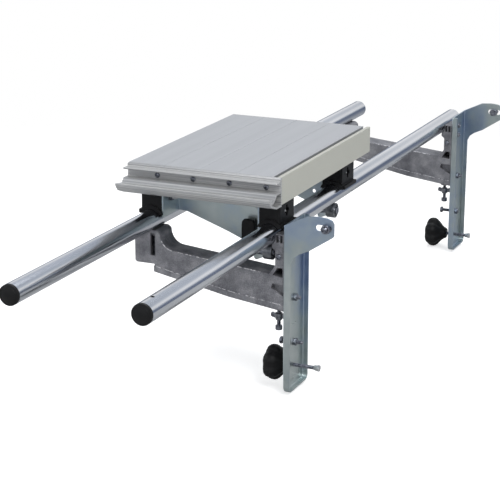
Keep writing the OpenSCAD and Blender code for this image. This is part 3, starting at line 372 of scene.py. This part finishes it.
# The two cross members: aluminium castings, rough from the mould, with rounded edges,
# a saddle post under the left tube and a stout end that the bracket is screwed to.
def softened(node, finish, radius, steps=2):
    """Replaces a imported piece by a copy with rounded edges.

    Doubles are merged and flat faces joined. Each edge that turns by more than 30 degrees
    is rounded to radius(middle, normal, other normal, length), all in mm, over arrays of
    edges.
    """
    packed = frame["nodes"][node].data
    corners = np.empty((len(packed.vertices), 3), np.float32)
    packed.vertices.foreach_get("co", corners.ravel())
    triangles = np.empty((len(packed.polygons), 3), np.int32)
    packed.loops.foreach_get("vertex_index", triangles.ravel())
    plain = bpy.data.meshes.new(node + "_soft")
    plain.from_pydata(corners.tolist(), [], triangles.tolist())
    shape = bmesh.new()
    shape.from_mesh(plain)
    bmesh.ops.remove_doubles(shape, verts=shape.verts, dist=2e-6)
    bmesh.ops.dissolve_limit(
        shape, angle_limit=math.radians(0.5), verts=shape.verts, edges=shape.edges
    )
    weight = shape.edges.layers.float.new("bevel_weight_edge")
    least = math.radians(30)
    sharp = [e for e in shape.edges if e.is_manifold and e.calc_face_angle() > least]
    for face in shape.faces:
        face.smooth = True
    ends = np.array([[e.verts[0].co, e.verts[1].co] for e in sharp]) * 1000
    sides = np.array([[f.normal for f in e.link_faces] for e in sharp])
    middle = ends.mean(1) + datum
    length = np.linalg.norm(ends[:, 0] - ends[:, 1], axis=1)
    rounds = radius(middle, sides[:, 0], sides[:, 1], length)
    for edge, share in zip(sharp, rounds / rounds.max()):
        edge[weight] = float(share)
        edge.smooth = bool(share > 0)
    shape.to_mesh(plain)
    shape.free()
    piece = finished(node + "_soft", plain, node, finish)
    bevel = piece.modifiers.new("edges", "BEVEL")
    bevel.limit_method, bevel.width, bevel.segments = "WEIGHT", rounds.max() / 1000, steps
    bevel.use_clamp_overlap, bevel.harden_normals = False, True
    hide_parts(node)
    return piece


cast = Finish(bpy.data.materials.new("rough_casting"))
mottle = noise(cast, 40, detail=6, rough=0.65)
sand = noise(cast, 1500, detail=3)
cast_skin = surface(
    cast,
    Base_Color=ramp(cast, 0.55 * mottle + 0.45 * sand, (0.36, tone(90, 90, 96)),
                    (0.5, tone(126, 126, 131)), (0.64, tone(164, 164, 167))),
    Metallic=0.55,
    Roughness=0.44 + 0.16 * mottle,
    Normal=bump(cast, 0.35 * mottle + 0.35 * sand, 0.0007),
)


def cast_edges(middle, side, other, length):
    """1.2 mm on the mould's long edges, 0.35 mm on the side post and round bores."""
    post = (middle[:, 0] > 211) & (middle[:, 2] > -12)
    return np.where(post | (length < 1.3), 0.35, 1.2)


def carved(piece, outline, front, back):
    """Takes a prism out of a piece: an outline in X and Z, drawn from front to back in Y.

    The cut is made before the edges are rounded, so the rounding stays a live modifier.
    """
    rim = np.array(outline, float)
    ring = np.arange(len(rim))
    ahead = np.roll(ring, -1)
    sides = np.stack([ring, ahead, ahead + len(rim), ring + len(rim)], -1)
    points = np.concatenate([np.insert(rim, 1, y, axis=1) for y in (front, back)])
    ends = [ring[::-1].tolist(), (ring + len(rim)).tolist()]
    tool = added("prism", closed("prism", points, sides.tolist() + ends))
    bevel = piece.modifiers["edges"]
    bevel.show_viewport = False
    cut = piece.modifiers.new("cut", "BOOLEAN")
    cut.operation, cut.object, cut.solver = "DIFFERENCE", tool, "EXACT"
    bpy.context.view_layer.update()
    done = piece.evaluated_get(bpy.context.evaluated_depsgraph_get())
    piece.data = bpy.data.meshes.new_from_object(done)
    piece.modifiers.remove(cut)
    bevel.show_viewport = True
    bpy.data.objects.remove(tool)


window, window_depth = [(206, -59.5), (213.5, -47.5), (222, -47.5), (222, -62)], 30
wedge, wedge_depth = [(203, -79.5), (206, -72.5), (223.6, -72.5), (223.6, -91)], 8
castings = (("near_cross_member", 394), ("far_cross_member", 1223))
for node, front in castings:
    casting = softened(node, cast_skin, cast_edges)
    carved(casting, window, front - 1, front + window_depth)
    carved(casting, wedge, front - 1, front + wedge_depth)


# The beam is closed on top: a skin over the hollow, from the left post's round corner
# down to the right end, 0.4 mm inside the walls' outer faces.
def carried(path_x, path_z, profile):
    """A profile of (Y, rise) points along a path in X and Z, its rise square to it."""
    slope = np.gradient(path_z, path_x)
    square = np.stack([-slope, np.ones_like(slope)], -1) / np.hypot(slope, 1)[:, None]
    across, up = profile[None, :, 0], profile[None, :, 1]
    x = path_x[:, None] + square[:, :1] * up
    z = path_z[:, None] + square[:, 1:] * up
    return np.stack([x, across + 0 * x, z], -1)


corner_x, corner_z, corner_radius = 44, -19, 24
corner = np.radians(np.linspace(193, 270, 14))
beam_x = np.linspace(52, 199.5, 12)
beam_z = corner_z - corner_radius - 18 * (beam_x - corner_x) / 181
top_x = np.concatenate([corner_x + corner_radius * np.cos(corner), beam_x])
top_z = np.concatenate([corner_z + corner_radius * np.sin(corner), beam_z])
lid = np.array([(0.4, -4.2), (0.4, -0.9), (0.7, -0.3), (1.3, 0.12), (21, 0.16),
                (40.7, 0.12), (41.3, -0.3), (41.6, -0.9), (41.6, -4.2), (21, -4.2)])
for node, front in castings:
    skin = carried(top_x, top_z, lid + (front, 0))
    make(node, [skin], cast_skin, sharp=40, extra="_beam_top")


# The mould's parting lines stand out as thin ridges along the beam's upper front edge
# and along the rim, with bright dashes of painted highlight where light catches them.
def bead(front, radius):
    """The profile of a ridge: eight points of (front + r sin a, r cos a)."""
    turn = np.linspace(0, 2 * math.pi, 8, endpoint=False)
    return np.stack([front + radius * np.sin(turn), radius * np.cos(turn)], -1)


highlight_paint = Finish(bpy.data.materials.new("edge_with_painted_highlights"))
highlight_dash = noise(highlight_paint, 240, detail=2)
# Painted highlight: the ramp's bright stop, in dashes, stands in for light glinting on the
# ridges
painted_highlight_edge = surface(
    highlight_paint,
    Base_Color=ramp(highlight_paint, highlight_dash, (0.42, tone(118, 118, 122)), (0.56, tone(226, 226, 228))),
    Metallic=0.5,
    Roughness=0.4 - 0.1 * highlight_dash,
    Normal=bump(highlight_paint, highlight_dash, 0.0001),
)
rim_x = np.linspace(12, 223, 40)
rim_z = np.interp(rim_x, [10, 44.4, 136.9, 225], [-68.9, -75.6, -93.0, -104.4])
for node, front in castings:
    upper = carried(top_x[2:-1], top_z[2:-1] - 0.2, bead(front + 0.75, 0.7))
    lower = carried(rim_x, rim_z, bead(front - 1.9, 0.55))
    make(node, [upper, lower], painted_highlight_edge, sharp=60, extra="_parting_lines")


# The two brackets: pressed steel pans, zinc plated and passivated, so that the plate
# shifts from grey to blue. The bends are round and the cut edges nearly sharp.
zinc = Finish(bpy.data.materials.new("blue_zinc"))
drift = noise(zinc, 9, detail=3, stretch=(1, 1, 0.5))
cloud = noise(zinc, 60, detail=5)
mill = noise(zinc, 600, detail=2, stretch=(1, 1, 0.02))
zinc_plate = surface(
    zinc,
    Base_Color=ramp(zinc, 0.8 * drift + 0.2 * cloud, (0.32, tone(132, 150, 182)),
                    (0.46, tone(164, 178, 192)), (0.56, tone(178, 188, 188)),
                    (0.72, tone(202, 208, 206))),
    Metallic=1.0,
    Roughness=0.26 + 0.14 * cloud + 0.08 * mill,
    Normal=bump(zinc, mill + cloud, 0.00003),
)
web_back, web_front = 225, 227.5
flange_sides = np.array((391, 466, 1220, 1295))


def bracket_edges(middle, side, other, length):
    """2.6 mm on the bends outside, 1.8 mm inside them, 0.3 mm on cuts, 0.2 mm on holes."""
    bent = np.abs(side[:, 0] + other[:, 0]) > 0.9
    upright = np.abs(middle[:, 1:2] - flange_sides).min(1) < 3
    low = middle[:, 2] < -231
    bend = (upright | low) & (middle[:, 2] < 19) & bent
    outside = bend & (np.abs(middle[:, 0] - web_back) < 0.1)
    inside = bend & (np.abs(middle[:, 0] - web_front) < 0.1)
    rounds = np.where(outside, 2.6, np.where(inside, 1.8, 0.3))
    return np.where((length < 0.8) & ~low, 0.2, rounds)


for node in ("near_bracket", "far_bracket"):
    softened(node, zinc_plate, bracket_edges, steps=3)


# The screws and nuts of the castings and brackets: cut and rolled steel, dull on the
# flats and bright on the turned edges, with real threads where a thread shows.
turned_steel = Finish(bpy.data.materials.new("turned_steel"))
cloud = noise(turned_steel, 260, detail=4)
tooling = noise(turned_steel, 1800, detail=2)
bright_steel = surface(
    turned_steel,
    Base_Color=ramp(turned_steel, cloud, (0.3, tone(78, 82, 92)),
                    (0.7, tone(158, 160, 168))),
    Metallic=1.0,
    Roughness=0.2 + 0.18 * cloud + 0.1 * tooling,
    Normal=bump(turned_steel, tooling, 0.00003),
)
around_rod = np.linspace(0, 2 * math.pi, 36, endpoint=False)


def hexagon(flats):
    """Radius of a hexagon at each angle: half its flats over cos(a mod 60 degrees - 30)."""
    return flats / 2 / np.cos(around % (math.pi / 3) - math.pi / 6)


def thread(radius, start, end, pitch=1.0):
    """A threaded rod from start to end, six rows to a turn.

    Its radius is r - 0.54 pitch |2 s - 1|, where s is the fraction of h / pitch - a / 360
    degrees. It runs out into a plain cone over the last pitch at either end.
    """
    heights = np.linspace(start, end, max(int((end - start) / pitch * 6), 2))
    turn = (heights[:, None] / pitch - around_rod[None] / (2 * math.pi)) % 1
    cut = 0.54 * pitch * np.abs(2 * turn - 1)
    edge = np.minimum(heights - start, end - heights)[:, None] / pitch
    limit = radius - 0.5 * pitch * (1 - np.minimum(edge, 1))
    rows = zip(heights, np.minimum(radius - cut, limit))
    return turned([(start, 0), *rows, (end, 0)], around_rod)


def hex_nut(flats, height, bore):
    """A ring of rows: up the hexagon, cut at both ends by cones, and down the bore.

    The cones let the radius grow to 0.47 flats + 1.75 times the height from the end.
    """
    crown = flats * 0.47
    outer = [(h, np.minimum(hexagon(flats), crown + 1.75 * min(h, height - h)))
             for h in (0, 0.3, 0.7, height - 0.7, height - 0.3, height)]
    mouth, inner = bore + 0.5, [(height - 0.5, bore), (0.5, bore)]
    return turned([(0, mouth), *outer, (height, mouth), *inner, (0, mouth)])


def hex_head(flats, height, dish=0.3):
    """A closed hexagon head on h from 0 up, its corners cut by a cone, its top dished."""
    crown = flats * 0.47
    rows = [(h, np.minimum(hexagon(flats), crown + 1.75 * (height - h)))
            for h in (height - 0.9, height - 0.4, height)]
    return turned([(0, 0), (0, hexagon(flats)), *rows, (height, flats * 0.36),
                   (height - dish, flats * 0.3), (height - dish, 0)])


def socket_head(radius, height, socket, depth, fall=1.0):
    """A head with a hexagon socket: r = R sqrt(1 - fall (0.86 h / H)^2) on its dome."""
    steps = np.linspace(0.1, 1, 7)
    dome = [(height * s, radius * math.sqrt(1 - fall * (s * 0.86) ** 2)) for s in steps]
    mouth = np.minimum(hexagon(2 * socket), dome[-1][1] * 0.96)
    return turned([(0, 0), (0, radius * 0.97), *dome, (height, mouth * 1.08),
                   (height - 0.25, mouth), (height - depth, mouth),
                   (height - depth - 0.5, 0)])


def placed(places, *parts):
    """Every part at every place, where a part is a grid and the axis that its h follows."""
    return [lay(grid, axis, place) for place in places for grid, axis in parts]


# Radii of the two threads and their nuts' sizes across flats
m6, m6_flats, m8, m8_flats = 3, 10.02, 4, 13.04
nut = hex_nut(m6_flats, 4.98, m6 + 0.15)
posts = (415.0, 1244.0)
bolt_lines = (428.5, 1257.5)
# Under the left tube: a stud up through each post, and its nut
stud_foot, tube_nut_z, tube_stud = -61.64, -29.1, thread(m6, 0, 53.19)
stud_feet = [(0, y, stud_foot) for y in posts]
make("tube_studs", placed(stud_feet, (tube_stud, "+z")), bright_steel)
make("tube_nuts", placed([(0, y, tube_nut_z) for y in posts], (nut, "+z")), bright_steel)
# In the front of each right post: a set screw
post_x, post_z = 215.5, -30.5
post_head, post_rod = socket_head(4.45, 2.65, socket=1.8, depth=1.4), thread(m6, 0, 13.85)
post_fronts = [(post_x, front, post_z) for _, front in castings]
make("post_screws", placed(post_fronts, (post_head, "-y"), (post_rod, "+y")), bright_steel)
# Through each bracket's web: two screws, the upper one as far as the tube
button, screws = socket_head(4.98, 2.7, socket=1.8, depth=1.4), []
for y in bolt_lines:
    for z, tip in ((-2, 204.1), (-20, 212.25)):
        screws += [lay(button, "+x", (web_front, y, z)),
                   lay(thread(m6, 0, web_front - tip), "+x", (tip, y, z))]
make("bracket_screws", screws, bright_steel)
# Below them: a stud from the casting and the adjusting screw, each with a nut
stud_x, stud_z, bracket_stud = 204.9, -101, thread(m6, 0, 32.56)
stud_feet = [(stud_x, y, stud_z) for y in bolt_lines]
make("bracket_studs", placed(stud_feet, (bracket_stud, "+x")), bright_steel)
adjusting_z = -172
for node, z in (("bracket_nuts", stud_z), ("adjusting_nuts", adjusting_z)):
    make(node, placed([(web_front, y, z) for y in bolt_lines], (nut, "+x")), bright_steel)
adjusting_heads = [(x, y, adjusting_z) for x, y in zip((209.0, 201.5), bolt_lines)]
adjusting_rod, adjusting_head = thread(m6, 0, 32.5), hex_head(m6_flats, 4.2)
make("adjusting_screws",
     placed(adjusting_heads, (adjusting_rod, "+x"), (adjusting_head, "-x")), bright_steel)
# In each ear's slot: a bolt whose hollow end shows, and its nut
ear_z, ear_sheet, bolt_reach = 22, 2.5, 10.9
bolt_end = socket_head(3.6, 1.0, socket=2.0, depth=2.4, fall=0.5)
bolts, nuts = [], []
for x, y, out, back in ((291.3, 391.0, "-y", "+y"), (285.5, 1295.0, "+y", "-y")):
    outward = 1 if out == "+y" else -1
    bolts += [
        lay(thread(m8, -ear_sheet, 11.0, pitch=1.25), out, (x, y, ear_z)),
        lay(bolt_end, out, (x, y + outward * bolt_reach, ear_z)),
        lay(hex_head(m8_flats, 5.28), back, (x, y - outward * ear_sheet, ear_z)),
    ]
    nuts.append(lay(hex_nut(m8_flats, 6.4, m8 + 0.15), out, (x, y, ear_z)))
make("ear_bolts", bolts, bright_steel)
make("ear_nuts", nuts, bright_steel)


# The height bolts hang in the underside of the castings' right ends, each with a wing
# nut whose two wings are drawn out sideways from a round hub.
bolt_x, bolt_foot, head_height, hub_top = 208, -151, 6.72, -124.2
rod, head = thread(m6, 0, 59), hex_head(m6_flats, head_height)
bolts = []
for y in posts:
    bolts += [lay(rod, "+z", (bolt_x, y, bolt_foot)),
              lay(head, "-z", (bolt_x, y, bolt_foot + head_height))]
make("height_bolts", bolts, bright_steel)
cast_grey = Finish(bpy.data.materials.new("cast_wing_nut"))
cloud = noise(cast_grey, 160, detail=4)
wing_metal = surface(
    cast_grey,
    Base_Color=ramp(cast_grey, cloud, (0.3, tone(92, 94, 100)),
                    (0.7, tone(158, 160, 166))),
    Metallic=1.0,
    Roughness=0.28 + 0.2 * cloud,
    Normal=bump(cast_grey, cloud, 0.0001),
)
hub = turned([(0, 3.05), (0, 5.2), (0.7, 5.9), (6, 5.6), (10.2, 5.0), (11, 4.4), (11, 3.05),
              (0, 3.05)], around_rod)
section = np.array([(0.9, 1.0), (1.3, 0.55), (1.3, -0.55), (0.9, -1.0), (-0.9, -1.0),
                    (-1.3, -0.55), (-1.3, 0.55), (-0.9, 1.0)])
# Rows along a wing: reach from the axis, drop of its middle, half its height, thickness
along = np.array([(3.6, 5.6, 3.4, 1.0), (5.4, 5.4, 3.6, 1.0), (7.5, 4.6, 3.9, 0.85),
                  (9.6, 4.0, 4.1, 0.8), (11.4, 3.9, 3.7, 0.8), (12.5, 4.1, 2.8, 0.75),
                  (12.95, 4.3, 1.6, 0.6)])
reach, drop, half, thick = (along[:, i:i + 1] for i in range(4))
for node, y in zip(("near_wing_nut", "far_wing_nut"), posts):
    wings = [
        np.stack([bolt_x + side * reach + 0 * section[:, 0], y + thick * section[:, 0],
                  hub_top - drop + half * section[:, 1]], -1)
        for side in (-1, 1)
    ]
    make(node, [lay(hub, "-z", (bolt_x, y, hub_top)), *wings], wing_metal, sharp=40)


# The clamp screws: a black star knob on one end and a swivelling pad on the other. The
# knob's rim has six lobes, its outer face is domed and its sides bulge.
def lobed_rows(rows, angles):
    """Radii R (1 - k (1 - lobe)^1.6), with lobe = (1 - cos 6 a) / 2.

    The flutes' depth k is 0.13 round the rim and fades towards the face and the hub.
    """
    lobes = 0.5 - 0.5 * np.cos(6 * angles)
    depth = 0.13 * np.clip((rows[:, 1] - 11) / 9, 0, 1)[:, None]
    radii = rows[:, 1:] * (1 - depth * (1 - lobes[None]) ** 1.6)
    return list(zip(rows[:, 0], radii))


pad_metal = Finish(bpy.data.materials.new("pad_steel"))
cloud = noise(pad_metal, 300, detail=3)
pale_steel = surface(
    pad_metal,
    Base_Color=ramp(pad_metal, cloud, (0.3, tone(176, 178, 180)),
                    (0.7, tone(216, 217, 218))),
    Metallic=0.9,
    Roughness=0.3 + 0.16 * cloud,
    Normal=bump(pad_metal, cloud, 0.00003),
)
around_knob = np.linspace(0, 2 * math.pi, 144, endpoint=False)
knob_rows = np.array([(2.2, 0), (2.2, 6), (2.5, 14), (3.5, 20), (5.6, 24.2), (8.8, 26.8),
                      (12.5, 27.9), (15, 28), (18, 27.9), (21.5, 26.6), (25, 23.8),
                      (28.5, 19.8), (32, 15.8), (36, 12.4), (39.5, 10.4), (41.5, 9.4),
                      (42, 8.8), (42, 3.1), (14, 3.1), (14, 0)])
knob = turned(lobed_rows(knob_rows, around_knob), around_knob)
pad_length, screw_length, screw_in_pad = 9, 71.2, 3.8
pad = turned([(0.3, 3.05), (0, 3.4), (0.5, 3.7), (3.5, 4.1), (5.8, 4.6), (7.4, 4.98),
              (8.7, 4.98), (pad_length, 4.7), (pad_length, 0), (3.7, 0), (3.7, 3.05),
              (0.3, 3.05)])
rod = thread(m6, 0, screw_length)
# Each clamp: where its knob starts, where its pad ends, its line and its height
clamps = (
    ("near", 180.5, 269.5, bolt_lines[0], -209),
    ("far", 169, 258, bolt_lines[1], -219),
)
for side, start, end, y, z in clamps:
    make(side + "_star_knob", [lay(knob, "+x", (start, y, z))], black_plastic, sharp=50)
for side, start, end, y, z in clamps:
    make(side + "_clamp_pad", [lay(pad, "+x", (end - pad_length, y, z))], pale_steel)
    screw_start = end - screw_in_pad - screw_length
    make(side + "_clamp_screw", [lay(rod, "+x", (screw_start, y, z))], bright_steel)


# The table top: four drawn aluminium planks side by side, with fine lines along the
# draw and a screw channel in each, and thin strips of light between them.
def by_length(limit, on_long, on_short):
    """Rounds the edges over a length by one radius and the others by another, in mm."""
    return lambda middle, side, other, length: np.where(length > limit, on_long, on_short)


drawn = Finish(bpy.data.materials.new("drawn_aluminium"))
line = noise(drawn, 900, detail=4, stretch=(1, 0.004, 1))
broad = noise(drawn, 60, detail=3, stretch=(1, 0.02, 1))
drawn_aluminium = surface(
    drawn,
    Base_Color=ramp(drawn, 0.5 * line + 0.5 * broad, (0.35, tone(171, 173, 177)),
                    (0.5, tone(175, 177, 181)), (0.65, tone(180, 182, 186))),
    Metallic=0.4,
    Roughness=0.34 + 0.12 * line,
    Normal=bump(drawn, line, 0.000015),
)
for number in "1234":
    softened("table_plank_" + number, drawn_aluminium, by_length(300, 0.45, 0.1))


# The rails round the table: an extruded front rail with a slot for accessories, a thin
# strip behind and a plain side rail. The front rail shows its draw lines.
edged = Finish(bpy.data.materials.new("rail_aluminium"))
line = noise(edged, 460, detail=3, stretch=(0.004, 1, 1), rough=0.7)
rail_aluminium = surface(
    edged,
    Base_Color=ramp(edged, line, (0.36, tone(148, 149, 151)), (0.5, tone(182, 182, 182)),
                    (0.62, tone(208, 208, 207))),
    Metallic=0.4,
    Roughness=0.3 + 0.14 * line,
    Normal=bump(edged, line, 0.00006),
)
softened("front_rail", rail_aluminium, by_length(200, 0.6, 0.12))
softened("rear_strip", rail_aluminium, by_length(30, 0.25, 0.1))
painted = Finish(bpy.data.materials.new("side_rail_grey"))
speck = noise(painted, 700, detail=3)
side_grey = surface(
    painted,
    Base_Color=ramp(painted, speck, (0.3, tone(184, 184, 175)), (0.7, tone(194, 194, 185))),
    Metallic=0.0,
    Roughness=0.5 + 0.12 * speck,
    Normal=bump(painted, speck, 0.00002),
)
softened("side_rail", side_grey, by_length(0, 0.5, 0.5))


# The screws of the front rail and the rear strip: pan heads with a cross recess, each
# run into the screw channel of a plank.
def cross_head(radius, height, arms, width, depth):
    """A domed pan head whose height sinks by depth inside a cross.

    h = H (0.35 + 0.65 (1 - (r / R)^2.4)), with the cross where the lesser of |x| and |y|
    is under half its width and r is under its arms' length, over a smooth edge.
    """
    rings = np.linspace(0, 1, 26)[::-1, None] * radius
    x, y = rings * np.cos(around), rings * np.sin(around)
    near = np.minimum(np.abs(x), np.abs(y)) - width / 2
    inside = np.clip(-near / 0.35 + 0.5, 0, 1) * np.clip((arms - rings) / 0.4, 0, 1)
    top = height * (0.35 + 0.65 * (1 - (rings / radius) ** 2.4)) - depth * inside
    rim = [(0, 0), (0, radius * 0.94), (height * 0.12, radius)]
    return np.concatenate([turned(rim), np.stack([x, y, top], -1)])


plank_width, first_edge, channel_in, channel_z = 58.5, -18, 49.3, 81.0575
channels = [first_edge + i * plank_width + channel_in for i in range(4)]
cross = cross_head(4.2, 2.4, arms=2.5, width=1.1, depth=1.5)
tapping = thread(2, 0, 26, pitch=0.7)
for node, y, out, back in (("front_rail_screws", 366.99, "-y", "+y"),
                           ("rear_strip_screws", 749, "+y", "-y")):
    places = [(x, y, channel_z) for x in channels]
    make(node, placed(places, (cross, out), (tapping, back)), bright_steel, sharp=40)


# The four sliding shoes are black saddles over the tubes, each with a bolt through it
# whose round head lies in a cross-shaped pocket on the outer side.
for node in ("near_left_shoe", "near_right_shoe", "far_left_shoe", "far_right_shoe"):
    softened(node, black_plastic, by_length(1.2, 0.7, 0.3))
shoe_head, shoe_rod = socket_head(4.98, 4.2, socket=1.8, depth=2.4), thread(m6, 0, 42)
bolt_z, head_seat, rod_tip, nut_seat = 31, 10, -32, -24.48
bolts, nuts = [], []
for y in (433, 690):
    for x, out, axis in ((tube_gap, 1, "+x"), (0, -1, "-x")):
        bolts += [lay(shoe_head, axis, (x + out * head_seat, y, bolt_z)),
                  lay(shoe_rod, axis, (x + out * rod_tip, y, bolt_z))]
        nuts.append(lay(nut, axis, (x + out * nut_seat, y, bolt_z)))
make("shoe_bolts", bolts, pale_steel)
make("shoe_nuts", nuts, bright_steel)


# The cross plates tie the shoes together under the table: zinc-plated sheet, bent up at
# both sides, with a sloping lower edge and an arm for the roller on the right.
def at_either(places, first, second):
    """True where a place lies within 0.2 mm of one of two planes."""
    return np.minimum(np.abs(places - first), np.abs(places - second)) < 0.2


def plate_edges(middle, side, other, length):
    """2.4 mm outside a cross plate's bends, 0.8 mm inside, 0.3 mm on cuts."""
    bent = np.abs(side[:, 0] + other[:, 0]) > 0.9
    bent &= (np.abs(side[:, 2]) < 0.1) & (np.abs(other[:, 2]) < 0.1)
    outside = at_either(middle[:, 0], 17, 178) & at_either(middle[:, 1], 464, 721)
    inside = at_either(middle[:, 0], 19.5, 175.5) & at_either(middle[:, 1], 461.5, 718.5)
    return np.where(bent & outside, 2.4, np.where(bent & inside, 0.8, 0.3))


for node in ("near_cross_plate", "far_cross_plate"):
    softened(node, zinc_plate, plate_edges, steps=3)


# The rollers under the right tube are ball bearings: an outer ring, a shield with a
# step round it, an inner ring on the axle's shoulder, and a nut behind the plate.
ring = Finish(bpy.data.materials.new("bearing_rings"))
lathe = noise(ring, 2500, detail=2)
worn = noise(ring, 120, detail=4)
ring_steel = surface(
    ring,
    Base_Color=ramp(ring, worn, (0.3, tone(86, 88, 92)), (0.7, tone(136, 138, 142))),
    Metallic=1.0,
    Roughness=0.24 + 0.14 * lathe + 0.1 * worn,
    Normal=bump(ring, lathe, 0.00003),
)
ring_rows = [(0, 9.3), (0, 11.4), (0.15, 11.8), (0.6, 12), (13.4, 12), (13.85, 11.8),
             (14, 11.4), (14, 9.3), (13.2, 9.2), (0.8, 9.2), (0, 9.3)]
shield_rows = [(0, 4.05), (0, 5.7), (0.5, 5.9), (0.9, 6.2), (1.1, 8.7), (0.7, 8.86),
               (13.3, 8.86), (12.9, 8.7), (13.1, 6.2), (13.5, 5.9), (14, 5.7), (14, 4.05),
               (0, 4.05)]
axle_rows = [(-11, 0), (-11, 6.4), (0, 6.4), (0, 4), (14, 4), (14, 5.7), (14.4, 6),
             (16.4, 6), (16.8, 5.5), (16.8, 1.9), (15.8, 1.6), (15.8, 0)]
ring_x, collar_x, arm_x, axle_z = 189, 178, 175.5, -27.3
axle_end = thread(m6, 0, 10.48)
axles, nuts = [], []
for side, y in (("near", 406), ("far", 663)):
    middle = (ring_x, y, axle_z)
    make(side + "_roller", [lay(turned(ring_rows), "+x", middle)], ring_steel)
    make(side + "_bearing_hub", [lay(turned(shield_rows), "+x", middle)], ring_steel)
    axles += [lay(turned(axle_rows), "+x", middle),
              lay(axle_end, "-x", (collar_x, y, axle_z))]
    nuts.append(lay(nut, "-x", (arm_x, y, axle_z)))
make("roller_axles", axles, bright_steel)
make("axle_nuts", nuts, bright_steel)


# The lock knob in front of the near cross plate: a small black grip with rounded
# corners and bulging sides on a hub, its screw through the plate and a nut behind.
def squared(share):
    """Radii of the grip's outline |x / 11|^5 + |z / 19|^5 = 1, in mm, times a share."""
    shape = np.abs(np.cos(around)) ** 5 + np.abs(np.sin(around) * 0.58) ** 5
    return share * 11 * shape ** -0.2


grip = [(0, 3.1), (0, 6), (6.3, 6), (6.35, squared(0.84)), (7.1, squared(0.96)),
        (9, squared(1)), (13.2, squared(10.8 / 11)), (14.8, squared(0.93)),
        (15.3, squared(0.8)), (15.3, squared(0.3)), (15.1, 0), (8.5, 0), (8.5, 3.1),
        (0, 3.1)]
lock_x, lock_z, grip_y, screw_y, nut_y = 142.5, -14, 461.3, 454.0, 464
lock_grip, lock_screw = turned(grip), thread(m6, 0, 19.6)
make("lock_knob", [lay(lock_grip, "-y", (lock_x, grip_y, lock_z))], black_plastic, sharp=40)
make("lock_screw", [lay(lock_screw, "+y", (lock_x, screw_y, lock_z))], bright_steel)
make("lock_nut", [lay(nut, "+y", (lock_x, nut_y, lock_z))], bright_steel)
